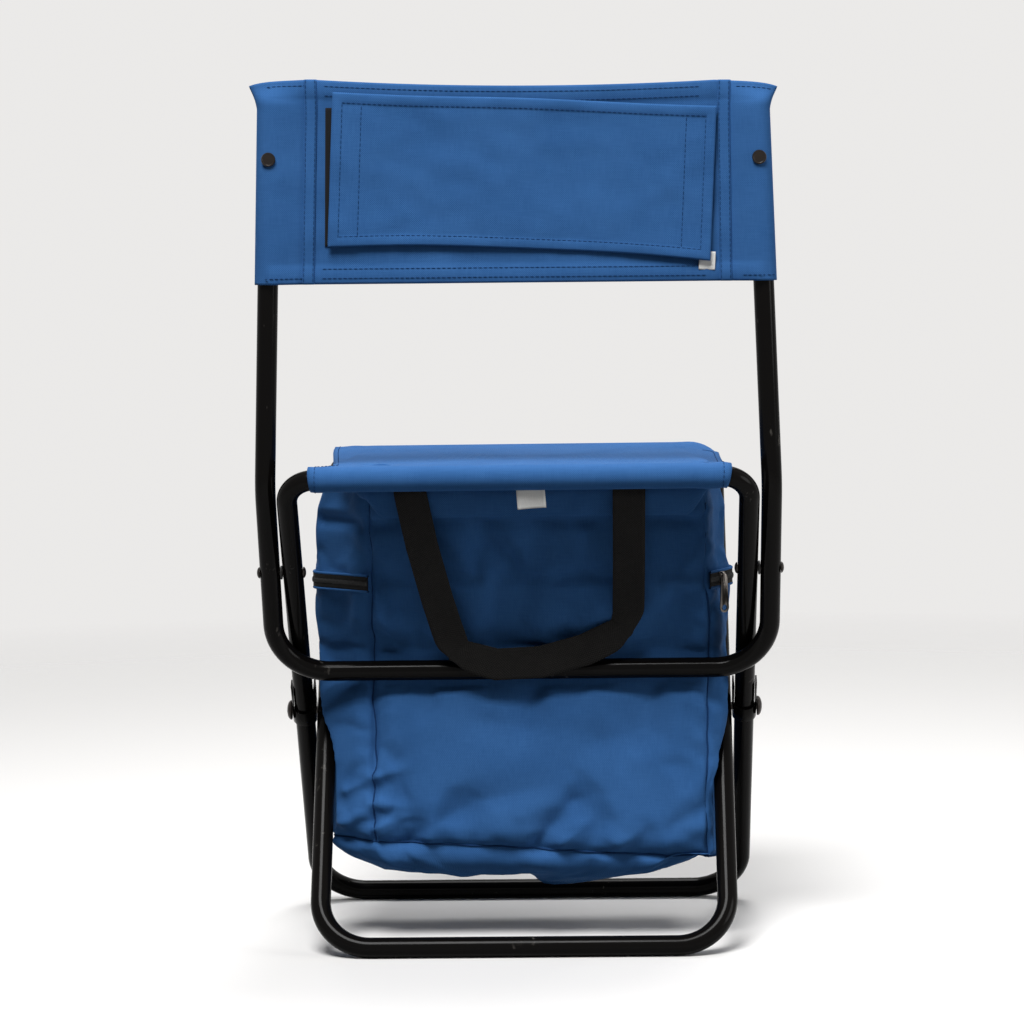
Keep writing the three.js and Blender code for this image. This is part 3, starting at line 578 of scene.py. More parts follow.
def sew_up(piece, thickness=0, softness=0):
    """Joins a cloth piece's own edges where they meet and gives it its thickness."""
    take_up(piece)
    bpy.ops.object.mode_set(mode="EDIT")
    bpy.ops.mesh.select_all(action="SELECT")
    bpy.ops.mesh.remove_doubles(threshold=0.00001)
    bpy.ops.object.mode_set(mode="OBJECT")
    if thickness:
        apply_modifier(piece, "SOLIDIFY", thickness=thickness, offset=0)
    if softness:
        apply_modifier(piece, "SUBSURF", levels=softness, render_levels=softness)
    bpy.ops.object.shade_smooth()
    return piece


def seam_line(place, start, end, steps, lift=0.0004, nudge=0.001):
    """Steps (point, outward) along a straight line on a cloth's own u and v, lifted off its middle."""
    steps_taken = []
    for t in np.linspace(0, 1, steps):
        u, v = (a + (b - a) * t for a, b in zip(start, end))
        across = place(u + nudge, v) - place(u - nudge, v)
        upward = place(u, v + nudge) - place(u, v - nudge)
        outward = across.cross(upward).normalized()
        steps_taken.append((place(u, v) + outward * lift, outward))
    return steps_taken


def stitched(name, lines, length=0.0034, pitch=0.0040, thickness=0.00065, height=0.0008):
    """Rows of stitches: one small rounded stitch, shaped once and copied along each line."""
    bpy.ops.object.select_all(action="DESELECT")
    bpy.ops.mesh.primitive_uv_sphere_add(segments=6, ring_count=4, radius=0.5)
    stitch = bpy.context.object
    stitch.scale = (length, thickness, height)
    bpy.ops.object.transform_apply(scale=True)
    shape = np.array([point.co for point in stitch.data.vertices])
    faces = [np.array(face.vertices) for face in stitch.data.polygons]
    bpy.data.objects.remove(stitch)
    points, surfaces = [], []
    for line in lines:
        places = np.array([place for place, _ in line])
        reach = np.concatenate(([0], np.cumsum(np.linalg.norm(np.diff(places, axis=0), axis=1))))
        for distance in np.arange(pitch / 2, reach[-1], pitch):
            i = min(int(np.searchsorted(reach, distance)), len(line) - 1)
            share = (distance - reach[i - 1]) / max(reach[i] - reach[i - 1], 1e-9)
            middle = line[i - 1][0].lerp(line[i][0], share)
            outward = line[i - 1][1].lerp(line[i][1], share).normalized()
            forward = (line[i][0] - line[i - 1][0]).normalized()
            turn = np.array((forward, outward.cross(forward), outward)).T
            surfaces += [(face + len(points) * len(shape)).tolist() for face in faces]
            points.append(shape @ turn.T + np.array(middle))
    mesh = bpy.data.meshes.new(name)
    mesh.from_pydata(np.concatenate(points).tolist(), [], surfaces)
    piece = bpy.data.objects.new(name, mesh)
    bpy.context.scene.collection.objects.link(piece)
    take_up(piece)
    bpy.ops.object.shade_smooth()
    return piece


blue_cloth = cloth_finish(
    "blue_polyester", (0.025, 0.089, 0.245), (0.044, 0.138, 0.350),
    pitch=0.0016, relief=0.4, roughness=0.62,
    Sheen_Weight=0.1, Sheen_Roughness=0.4, Sheen_Tint=(0.15, 0.45, 1.0, 1), Specular_IOR_Level=0.04,
    Specular_Tint=(0.2, 0.5, 1.0, 1),
)
blue_thread = cloth_finish(
    "blue_sewing_thread", (0.009, 0.032, 0.100), (0.016, 0.052, 0.155),
    pitch=0.0005, relief=0.3, roughness=0.8, place="Object", Specular_IOR_Level=0.03,
)
cover_bottom, cover_top = 0.5255, 0.6805
cover_height = cover_top - cover_bottom
cover_start = along_at(cover_bottom)
cover_thickness = 0.0009
cover_dip = 0.0045
cover_tilt, tilt_at_foot = 0.011, 0.3
sleeve_half = 0.0098
sleeve_taper = 0.032
layer_half = 0.0014
ear_clear = 0.003
ear_start = along_at(upright_top) + ear_clear
ear_length = along_at(cover_top) - ear_start
ear_half = 0.002
ear_flare = 0.0058
ear_reach = 0.016
ear_slant, ear_curl = 0.45, 0.55
ear_drop = 0.005
hem_height, hem_rise, hem_edge, hem_roll = 0.0125, 0.0006, 0.002, 0.0007
broad_slack, fine_slack = 0.0012, 0.0007
face_share = 0.382
taper_share, round_share = 0.34, 0.32


def sleeve_half_at(along):
    return sleeve_half + (ear_half - sleeve_half) * eased((along - ear_start) / ear_length)


def rear_layer(x, along):
    """How far the rear layer stands out of the uprights' plane, from the middle to an upright."""
    sleeve = eased((abs(x) - upright_x(min(along, upright_length)) + sleeve_taper) / sleeve_taper)
    from_edge = min(along - cover_start, cover_start + cover_height - along)
    hem = hem_rise * (1 - eased((from_edge - hem_height) / hem_edge))
    hem += hem_roll * math.sin(math.pi * clamped(from_edge / hem_height))
    slack = broad_slack * ripple_at(x * 15, along * 26, 3) * (1 - sleeve)
    slack += fine_slack * ripple_at(x * 34, along * 44, 7)
    return layer_half + hem + slack + (sleeve_half_at(along) - layer_half) * sleeve


def on_cover(x, along, v, out):
    """A point of the cover, which hangs a little lower on the right, more so at its top."""
    return on_back(x, along - cover_tilt * (tilt_at_foot + v) * x, out)


def cover_place(u, v):
    along = cover_start + v * cover_height
    half_x = upright_x(min(along, upright_length))
    seam_x = half_x - sleeve_taper
    to_front = u % 1 >= 0.5
    turn = (u % 1 - (0.5 if to_front else 0))
    side = -1 if to_front else 1
    if turn < face_share:
        x = seam_x * (2 * turn / face_share - 1)
        out = rear_layer(x * side, along)
    else:
        lobe = (turn - face_share) / (0.5 - face_share)
        rounding = (lobe - taper_share) / round_share
        if 0 < rounding < 1:
            flat = clamped((along - ear_start + ear_clear) / (ear_length + ear_clear)) ** 1.25
            x = half_x + (sleeve_half + ear_flare * flat) * math.sin(rounding * math.pi)
            out = sleeve_half_at(along) * math.cos(rounding * math.pi)
        else:
            share = lobe / taper_share if rounding <= 0 else (1 - lobe) / taper_share
            x = seam_x + sleeve_taper * share
            out = math.copysign(rear_layer(x * side, along), -rounding)
    along -= cover_dip * max(0, 1 - (x / seam_x) ** 2) * eased(v * 2 - 1)
    to_ear = clamped((abs(x) - seam_x) / (half_x - seam_x + ear_reach))
    ear_fall = ear_drop * (ear_slant * to_ear + ear_curl * to_ear ** 6)
    along -= ear_fall * eased((along - ear_start) / ear_length)
    return on_cover(x * side, along, v, out * side)


cover_loop = 2 * (2 * half_back + math.pi * sleeve_half)
back_cover = cloth_grid("backrest_cloth", 220, 84, (cover_loop, cover_height), cover_place)
sew_up(back_cover, cover_thickness)
dress(back_cover, blue_cloth, "blue_fabric", "backrest", "backrest_cover")

# Sleeve facings
# A doubled strip of the same cloth over each line where a sleeve is sewn, stitched along both edges.
# The cover's own stitching is here too: two rows in each hem, of which one runs on over the sleeves.
facing_width, facing_thickness, facing_lift = 0.0092, 0.001, 0.0026
facing_start = 0.0042
drawn_at_foot, drawn_more = 0.0027, 0.0042
facing_stitches = (0.13, 0.87)
stitch_lift, facing_stitch_lift = 0.0006, 0.0005
cover_lines, cover_pieces = [], []


def facing_at(side):
    def place(u, v):
        along = cover_start + v * cover_height
        drawn_out = (drawn_at_foot + drawn_more * v) * (side > 0)
        seam_x = upright_x(min(along, upright_length)) - sleeve_taper
        x = side * (seam_x - facing_start + facing_width * u + drawn_out)
        lift = facing_lift * (1 - (2 * u - 1) ** 10)
        return on_cover(x, along, v, rear_layer(x, along) + lift)

    return place


for name, side in (("left", -1), ("right", 1)):
    facing = cloth_grid(f"sleeve_facing_{name}", 10, 84, (facing_width, cover_height), facing_at(side))
    sew_up(facing, facing_thickness)
    dress(facing, blue_cloth, "blue_fabric", "backrest")
    cover_pieces.append(facing)
    for u in facing_stitches:
        cover_lines.append(seam_line(facing_at(side), (u, 0.01), (u, 0.99), 60, side * facing_stitch_lift))
face_run = (0.012, face_share - 0.012, 80)
sleeve_runs = (0.958, 0.9995, 20), (face_share + 0.02, face_share + 0.052, 20)
for height, runs in ((0.0045, (face_run, *sleeve_runs)), (0.0115, (face_run,))):
    for v in (height / cover_height, 1 - height / cover_height):
        for start, end, steps in runs:
            cover_lines.append(seam_line(cover_place, (start, v), (end, v), steps, stitch_lift))
cover_stitches = stitched("backrest_stitching", cover_lines)
dress(cover_stitches, blue_thread, "blue_fabric", "backrest")

# Sleeve studs
# Snap studs in dark coated brass with a rolled rim and a dished cap. One is set through each sleeve,
# so that the cover can't ride up the tube; the left one sits a little higher.
stud_height, left_stud_rise = 0.619, 0.003
stud_radius = 0.0055
stud_profile = [(0.002, -0.003), (0.002, 0), (0.0048, 0), (stud_radius, 0.0005), (stud_radius, 0.0012)]
stud_profile += [(0.0051, 0.0018), (0.0044, 0.0019), (0.004, 0.0016), (0.0022, 0.0017), (0.0004, 0.0018)]
stud_along = along_at(stud_height)
stud_turn = Vector((1, 0, 0)).rotation_difference(out_back).to_euler()
for name, side in (("left", -1), ("right", 1)):
    stud_at = stud_along + left_stud_rise * (side < 0)
    stud_place = on_back(side * upright_x(stud_at), stud_at, sleeve_half + cover_thickness / 2)
    stud = settle(turned(f"snap_stud_{name}", stud_profile, 32), stud_place, stud_turn)
    dress(stud, dark_rivet, "dark_rivet", "backrest", f"sleeve_stud_{name}")

# Display panel
# A loose panel of doubled cloth, its edges turned in and sewn, with a stitched box at each end that
# holds the hook tape. It hangs a little askew and bows off the cover between the tapes.
panel_width, panel_height = 0.294, 0.1185
panel_middle = 0.006
panel_along = along_at(0.6065)
panel_tilt = math.radians(2.8)
panel_out = 0.0050
panel_thickness = 0.0012
panel_hem, panel_hem_edge, panel_hem_rise, panel_hem_roll = 0.0075, 0.0015, 0.0003, 0.0005
panel_box, panel_box_edge, panel_box_rise = 0.0225, 0.002, 0.0005
middle_bow, lower_bow, upper_bow = 0.0008, 0.0004, 0.0012
panel_wave, panel_ripple = 0.0012, 0.0006
edge_wave, lower_edge_rise = 0.0012, 0.0052
panel_stitch_lift = 0.0007


def on_panel(x, y, out):
    """A point of the panel, x and y from its middle, turned with it."""
    return on_back(
        panel_middle + x * math.cos(panel_tilt) + y * math.sin(panel_tilt),
        panel_along + y * math.cos(panel_tilt) - x * math.sin(panel_tilt), out,
    )


def panel_place(u, v):
    x, y = (u - 0.5) * panel_width, (v - 0.5) * panel_height
    across = clamped(u)
    bow = -middle_bow * math.sin(math.pi * across)
    bow += lower_bow * eased(1 - 2.2 * v) * math.sin(math.pi * across ** 1.4)
    bow += upper_bow * eased(2.2 * v - 1.2) * eased(3 * across - 0.6) * eased(5 - 5 * across)
    ripple = panel_wave * ripple_at(x * 15, y * 24, 9) + panel_ripple * ripple_at(x * 48, y * 60, 1)
    from_edge = min(panel_width / 2 - abs(x), panel_height / 2 - abs(y))
    hem = panel_hem_rise * (1 - eased((from_edge - panel_hem) / panel_hem_edge))
    hem += panel_hem_roll * math.sin(math.pi * clamped(from_edge / panel_hem)) ** 0.6
    hem += panel_box_rise * eased((panel_box - panel_width / 2 + abs(x)) / panel_box_edge)
    y -= edge_wave * math.sin(u * 9.0) * (v - 0.5)
    y += lower_edge_rise * math.sin(math.pi * across) * (1 - clamped(v)) ** 1.5
    return on_panel(x, y, panel_out + bow + ripple + hem)


panel = cloth_grid("display_cloth", 200, 84, (panel_width, panel_height), panel_place)
sew_up(panel, panel_thickness)
dress(panel, blue_cloth, "blue_fabric", "backrest", "display_panel")
hem_u, hem_v, box_u = panel_hem / panel_width, panel_hem / panel_height, panel_box / panel_width
panel_corners = [
    (hem_u, hem_v), (1 - hem_u, hem_v), (1 - hem_u, 1 - hem_v), (hem_u, 1 - hem_v), (hem_u, hem_v),
]
panel_lines = [
    seam_line(panel_place, start, end, 70, panel_stitch_lift)
    for start, end in zip(panel_corners, panel_corners[1:])
]
for u in (box_u, 1 - box_u):
    panel_lines.append(seam_line(panel_place, (u, hem_v), (u, 1 - hem_v), 50, panel_stitch_lift))
panel_stitches = stitched("display_stitching", panel_lines)
dress(panel_stitches, blue_thread, "blue_fabric", "backrest")

# Hook and loop tapes
# Black nylon tape in pairs at the panel's two ends: woven loops sewn to the cover and hooks sewn to the
# panel's back. The edge of the left loop tape shows beside the panel.
black_tape = cloth_finish(
    "black_hook_tape", (0.006, 0.006, 0.007), (0.014, 0.014, 0.015),
    pitch=0.0013, relief=0.9, roughness=0.8, Sheen_Weight=0.05, Specular_IOR_Level=0.12,
)
tape_width, tape_length, tape_thickness = 0.020, 0.106, 0.0013
loop_reach, loop_shift, loop_lean = 0.1370, 0.004, 0.022
loop_drop, loop_step = 0.002, 0.0035
hook_reach = 0.1355
loop_out, hook_out = 0.0024, 0.0038


def loop_tape_at(side):
    middle = panel_middle + side * (loop_reach - loop_shift * side)
    along = panel_along - loop_drop - loop_step * side

    def place(u, v):
        y = (v - 0.5) * tape_length
        return on_back(middle + (u - 0.5) * tape_width + loop_lean * y, along + y, loop_out)

    return place


def hook_tape_at(side):
    def place(u, v):
        return on_panel(side * hook_reach + (u - 0.5) * tape_width, (v - 0.5) * tape_length, hook_out)

    return place


for name, side in (("left", -1), ("right", 1)):
    for kind, place, under in (
        ("loop", loop_tape_at(side), "backrest_cloth"), ("hook", hook_tape_at(side), "display_cloth"),
    ):
        tape = cloth_grid(f"{kind}_tape_{name}", 12, 50, (tape_width, tape_length), place)
        sew_up(tape, tape_thickness)
        dress(tape, black_tape, "black_webbing", "backrest", f"{kind}_strip_{name}")

# Seat cover
# A sling of the same cloth with a sleeve sewn along each end, pushed over the two seat bars before
# the loops are closed. Its ends follow the bars a little way round their bends.
sleeve_deep, sleeve_tall = 0.0098, 0.0094
sleeve_height = 0.3764
sleeve_seam_in = 0.030
sling_half, sling_sag = 0.126, 0.004
seat_thickness = 0.0011
seam_lap = seat_thickness * 1.1
rear_ends, front_ends = (-0.1595, 0.1620), (-0.1605, 0.1625)
left_drawn_in = (-0.130, -0.112, -0.06, 0.03, 0.11), (0, 0.016, 0.0125, 0.006, 0)
bend_hold, bend_fade, loose_corner = 0.012, 0.05, 0.06
seat_wave, side_ripple, right_side_drop = 0.0016, 0.0012, 0.0026
side_from, right_side_from, side_fade = 0.12, 0.13, 0.03
seat_stitches_in, seat_stitch_lift = 0.013, 0.0007


def sleeve_arc(bar_y, first, last, steps=24):
    angles = np.radians(np.linspace(first, last, steps))
    return [(bar_y + sleeve_deep * math.cos(a), sleeve_height + sleeve_tall * math.sin(a)) for a in angles]


def sling_height(y):
    return sleeve_height + sleeve_tall - sling_sag * (1 - (y / seat_bar_reach) ** 2)


sleeve_seam = seat_bar_reach - sleeve_seam_in
seat_profile = [(-sleeve_seam, sling_height(sleeve_seam) - seam_lap)]
seat_profile += sleeve_arc(-seat_bar_reach, -65, -270)
seat_profile += [(y, sling_height(y)) for y in np.linspace(-sling_half, sling_half, 15)]
seat_profile += sleeve_arc(seat_bar_reach, 90, -115)
seat_profile += [(sleeve_seam, sling_height(sleeve_seam) - seam_lap)]
seat_profile = np.array(seat_profile)
seat_reach = np.concatenate(([0], np.cumsum(np.linalg.norm(np.diff(seat_profile, axis=0), axis=1))))
seat_length = seat_reach[-1]


def round_bend(point, bar_y, straight):
    """Carries a point near a seat bar on round the bend at the bar's end."""
    past = abs(point.x) - straight
    if past <= 0:
        return point
    side = math.copysign(1, point.x)
    leg_run = bar_y * (1 + floor_bar_reach / seat_bar_reach)
    down = Vector((0, -leg_run, tube_radius - seat_bar_height)).normalized()
    bar = Vector((0, bar_y, seat_bar_height))
    offset = Vector((0, point.y, point.z)) - bar
    lift = -offset.dot(down)
    turn = past / seat_corner
    bent = bar + offset + down * (lift + seat_corner - (seat_corner + lift) * math.cos(turn))
    bent.x = side * (straight + (seat_corner + lift) * math.sin(turn))
    follow = loose_corner if side < 0 < bar_y else 1
    return point.lerp(bent, follow * (1 - eased((abs(point.y - bar_y) - bend_hold) / bend_fade)))


def seat_place(u, v):
    reach = v * seat_length
    y, z = (float(np.interp(reach, seat_reach, seat_profile[:, i])) for i in (0, 1))
    forward = eased(y / seat_bar_reach / 2 + 0.5)
    left, right = (rear + (front - rear) * forward for rear, front in zip(rear_ends, front_ends))
    left += float(np.interp(y, *left_drawn_in))
    x = left + (right - left) * u
    on_sling = eased(4 - abs(y) / seat_bar_reach * 4.4)
    z += seat_wave * ripple_at(x * 13, y * 15, 5) * on_sling
    z += side_ripple * ripple_at(x * 60, y * 10, 2) * eased((abs(x) - side_from) / side_fade)
    z -= right_side_drop * eased((x - right_side_from) / side_fade) * on_sling
    point = round_bend(Vector((x, y, z)), -seat_bar_reach, outer_half - seat_corner)
    return round_bend(point, seat_bar_reach, inner_half - seat_corner)


seat_width = rear_ends[1] - rear_ends[0]
seat = cloth_grid("seat_cloth", 96, 170, (seat_width, seat_length), seat_place)
sew_up(seat, seat_thickness)
dress(seat, blue_cloth, "blue_fabric", None, "seat_cover")
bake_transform(seat)
seat_lines = [
    seam_line(seat_place, (u, 0.02), (u, 0.98), 150, seat_stitch_lift)
    for u in (seat_stitches_in, 1 - seat_stitches_in)
]
seat_stitches = stitched("seat_stitching", seat_lines)
dress(seat_stitches, blue_thread, "blue_fabric")
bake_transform(seat_stitches)

# Blank tags
# Small plain tags of white woven tape, folded double. One is sewn into the seat's rear sleeve, the
# other under the panel's lower right corner.
white_tape = cloth_finish(
    "white_woven_tag", (0.66, 0.66, 0.64), (0.82, 0.82, 0.80), pitch=0.0006, relief=0.35, roughness=0.7,
    Sheen_Weight=0.1,
)
tag_thickness = 0.0006


def tag_sheet(name, width, height, corner, right, down, hollow):
    """A folded tag that hangs from its sewn edge, slightly curled."""
    def place(u, v):
        curl = right.cross(down) * (hollow * math.sin(math.pi * u) * (1 - v) + 0.25 * hollow * (1 - v))
        return corner + right * (width * u) + down * (height * (1 - v)) + curl

    tag = cloth_grid(name, 12, 12, (width, height), place)
    sew_up(tag, tag_thickness)
    return tag


seat_tag_turn = math.radians(4)
seat_tag = tag_sheet(
    "seat_tag_tape", width=0.022, height=0.0160, corner=Vector((-0.001, -0.1395, 0.3672)),
    right=Vector((math.cos(seat_tag_turn), 0, math.sin(seat_tag_turn))),
    down=Vector((math.sin(seat_tag_turn), 0.15, -math.cos(seat_tag_turn))).normalized(), hollow=0.001,
)
dress(seat_tag, white_tape, "white_tag", "outer_frame", "seat_tag")
panel_right = (on_panel(1, 0, 0) - on_panel(0, 0, 0)).normalized()
panel_down = (on_panel(0, -1, 0) - on_panel(0, 0, 0)).normalized()
panel_tag = tag_sheet(
    "panel_tag_tape", width=0.0125, height=0.014,
    corner=on_panel(0.1385, -0.0520, panel_out - 0.0010), right=panel_right, down=panel_down, hollow=0.0008,
)
dress(panel_tag, white_tape, "white_tag", "backrest", "panel_tag")

# Cooler bag
# A boxed bag of the same cloth over foam, hung under the seat. It is cut as a rear panel, a front
# panel and two gussets, sewn at four upright seams and to a base, and settles between the legs.
bag_girth, bag_span = 0.88, 0.50
zip_height, zip_hold = 0.289, 0.0075
crossbar_rows = (0.205, 0.228)
# Each level: its height, its rear and its front, then its half width at the rear seams, at the widest,
# beside the legs and at the front seams
bag_levels = np.array([
    (0.074, -0.061, 0.062, 0.1335, 0.1600, 0.1480, 0.134),
    (0.097, -0.0615, 0.066, 0.1335, 0.1605, 0.1500, 0.145),
    (0.140, -0.0540, 0.070, 0.1335, 0.1620, 0.1505, 0.147),
    (0.180, -0.0462, 0.074, 0.1340, 0.1655, 0.1505, 0.147),
    (0.201, -0.0405, 0.080, 0.1345, 0.1670, 0.1505, 0.147),
    (0.233, -0.0405, 0.086, 0.1350, 0.1680, 0.1500, 0.147),
    (0.283, -0.071, 0.097, 0.13325, 0.1685, 0.1500, 0.147),
    (0.295, -0.071, 0.097, 0.13325, 0.1685, 0.1500, 0.147),
    (0.348, -0.098, 0.108, 0.13325, 0.1640, 0.1490, 0.145),
    (0.383, -0.116, 0.114, 0.1305, 0.1500, 0.1400, 0.134),
])
bag_foot, bag_top = bag_levels[0, 0], bag_levels[-1, 0]
beside_at, corner_rounds = 0.55, 5
base_slope, base_slope_fade = 0.0573, 0.09
base_half, base_round, base_bulge, base_middle = 0.075, 0.026, 0.012, 1.04
lid_rise = 0.0012
# Tables in two rows: heights, or places across the bag, and the value at each
widest_at = (0.20, 0.26), (0.17, 0.25)
base_depth = (-0.15, -0.12, -0.05, 0.03, 0.10, 0.15), (0.019, 0.0245, 0.0255, 0.0225, 0.013, 0.003)
rear_shift = (0.15, 0.24, 0.283, 0.348, 0.383), (0.0140, 0.0155, 0.01425, 0.01425, 0.0135)
rear_columns, gusset_columns, front_columns = 54, (13, 9, 9), 46
wall_rows = 70
evenly, crowded = 0.55, 0.45
right_seam = rear_columns
front_right = right_seam + sum(gusset_columns)
front_left = front_right + front_columns
bag_columns = front_left + sum(gusset_columns)
bag_seams = (0, right_seam, front_right, front_left)


def bag_ring(height):
    """The bag's section at a height, from its rear left seam round by the right to the left."""
    rear, front, rear_half, widest, beside, front_half = (
        float(np.interp(height, bag_levels[:, 0], bag_levels[:, i])) for i in range(1, 7)
    )
    shift = np.interp(height, *rear_shift)
    depth = front - rear
    widest_y = rear + depth * np.interp(height, *widest_at)
    beside_y = rear + depth * beside_at
    corners = [(shift - rear_half, rear), (shift + rear_half, rear), (widest, widest_y)]
    corners += [(beside, beside_y), (front_half, front), (-front_half, front)]
    corners += [(-beside, beside_y), (-widest, widest_y), corners[0]]
    spans = [rear_columns, *gusset_columns, front_columns, *gusset_columns[::-1]]
    ring = []
    for start, end, count in zip(np.array(corners[:-1]), np.array(corners[1:]), spans):
        steps = np.arange(count)[:, None] / count
        if count > max(gusset_columns):
            steps = evenly * steps + crowded * (0.5 - 0.5 * np.cos(np.pi * steps))
        ring.append(start + (end - start) * steps)
    ring = np.concatenate(ring)
    held = np.isin(np.arange(bag_columns), bag_seams)[:, None]
    for _ in range(corner_rounds):
        ring = np.where(held, ring, ring * 0.5 + (np.roll(ring, 1, 0) + np.roll(ring, -1, 0)) * 0.25)
    slope = base_slope * (1 - eased((height - bag_foot) / base_slope_fade))
    return np.column_stack((ring, height - slope * ring[:, 0]))


def shrunk(ring, share, drop):
    middle = ring.mean(axis=0) * (1, 1, 0)
    return middle + (ring - middle) * (share, share, 1) - (0, 0, drop)


def sagged(ring, share, drop):
    """A ring of the base, drawn in and let down by a share of the base's depth across the bag."""
    ring = shrunk(ring, share, 0)
    ring[:, 2] -= drop * np.interp(ring[:, 0], *base_depth)
    return ring


foot_ring, top_ring = bag_ring(bag_foot), bag_ring(bag_top)
bag_rows = [sagged(foot_ring, share, base_middle) for share in (0.02, 0.2, 0.4, 0.58, 0.72)]
for angle in np.radians((78, 64, 50, 37, 25, 13)):
    share = 1 - base_round * (1 - math.cos(angle)) / base_half
    bag_rows.append(sagged(foot_ring, share * (1 + base_bulge * math.sin(2 * angle)), math.sin(angle)))
base_seam_row = len(bag_rows)
bag_heights = np.linspace(bag_foot, bag_top, wall_rows)
bag_rows += [bag_ring(height) for height in bag_heights]
top_row = len(bag_rows) - 1
bag_rows += [shrunk(top_ring, share, -lid_rise) for share in (0.985, 0.9, 0.7, 0.4, 0.02)]
bag_rows = np.array(bag_rows)
strap_clear = (
    (0.190, 0.202, 0.232, 0.240, 0.277, 0.322, 0.362),
    (-0.200, -0.0405, -0.0405, -0.0565, -0.0755, -0.0965, -0.1125),
)
inner_gap, outer_gap = 0.0012, 0.001
leg_pass, leg_fade, beside_room = 0.012, 0.03, 0.02


def leg_clear(point):
    """Keeps a point of the bag between the inner legs where they pass it, and off the handle."""
    above = point.z - pivot_height
    reach, rise = floor_bar_reach, pivot_height
    if above > 0:
        reach, rise = seat_bar_reach, seat_bar_height - pivot_height
    beside_leg = eased((abs(point.y - above / rise * reach) - leg_pass) / leg_fade)
    between_legs = inner_half - tube_radius - inner_gap + beside_room * beside_leg
    limit = min(between_legs, outer_half - tube_radius - outer_gap)
    point.x = min(max(point.x, -limit), limit)
    point.y = max(point.y, float(np.interp(point.z, *strap_clear)))
    return point


def from_rows(rows):
    def place(u, v):
        return Vector(rows[round(v * (len(rows) - 1)), round(u * bag_columns) % bag_columns])

    return place


bag = cloth_grid("bag_cloth", bag_columns, len(bag_rows) - 1, (bag_girth, bag_span), from_rows(bag_rows))
sewn = bag.vertex_groups.new(name="sewn")
for index in range(len(bag.data.vertices)):
    row, column = divmod(index, bag_columns + 1)
    height = bag_heights[min(max(row - base_seam_row, 0), len(bag_heights) - 1)]
    on_rear = column < right_seam or column == bag_columns
    held = row == base_seam_row or row >= top_row - 2
    held = held or (column % bag_columns in bag_seams and row >= base_seam_row)
    held = held or (not on_rear and abs(height - zip_height) < zip_hold)
    held = held or (on_rear and crossbar_rows[0] < height < crossbar_rows[1])
    if held:
        sewn.add([index], 1.0, "REPLACE")
sew_up(bag)
take_up(bag)
bpy.ops.object.mode_set(mode="EDIT")
bpy.ops.mesh.select_all(action="DESELECT")
bpy.ops.mesh.select_non_manifold()
bpy.ops.mesh.fill_holes(sides=0)
bpy.ops.object.mode_set(mode="OBJECT")
cut_shape = [point.co.copy() for point in bag.data.vertices]
crumple, crumples_a_metre = 0.0016, 34
for point in bag.data.vertices:
    x, y, z = point.co * crumples_a_metre
    point.co += Vector((ripple_at(x, y, z), ripple_at(x + 7, y, z), 0)) * crumple
settle_frames, settle_cap, inward_cap = 16, 0.006, 0.003
cloth_settings = {
    "quality": 5, "mass": 0.2, "tension_stiffness": 30, "compression_stiffness": 30, "shear_stiffness": 10,
    "bending_stiffness": 0.5, "vertex_group_mass": "sewn", "shrink_min": -0.025, "use_pressure": True,
    "uniform_pressure_force": 0.8,
}
filling = bag.modifiers.new("filling", "CLOTH")
for setting, value in cloth_settings.items():
    setattr(filling.settings, setting, value)
filling.settings.effector_weights.gravity = 0
filling.collision_settings.use_collision = False
filling.point_cache.frame_end = settle_frames
for step in range(1, settle_frames + 1):
    bpy.context.scene.frame_set(step)
settled = bag.evaluated_get(bpy.context.evaluated_depsgraph_get())
places = [point.co.copy() for point in settled.data.vertices]
bag.modifiers.remove(filling)
for point, cut, place in zip(bag.data.vertices, cut_shape, places):
    move = place - cut
    cap = settle_cap if move.dot(point.normal) > 0 else inward_cap
    point.co = cut + move * min(1, cap / max(move.length, 1e-9))
bpy.context.scene.frame_set(1)


def place_finder(places):
    finder = KDTree(len(places))
    for index, place in enumerate(places):
        finder.insert(place, index)
    finder.balance()
    return finder


cut_places = place_finder(cut_shape)
seam_columns = [
    [cut_places.find(place)[1] for place in bag_rows[base_seam_row:top_row, column]] for column in bag_seams
]
on_seam = {index for column in seam_columns for index in column}
on_seam |= {cut_places.find(place)[1] for place in bag_rows[base_seam_row]}
seam_crease = 0.8
creased = bag.data.attributes.new("crease_edge", "FLOAT", "EDGE")
for edge in bag.data.edges:
    creased.data[edge.index].value = seam_crease if on_seam.issuperset(edge.vertices) else 0
sew_up(bag, softness=1)
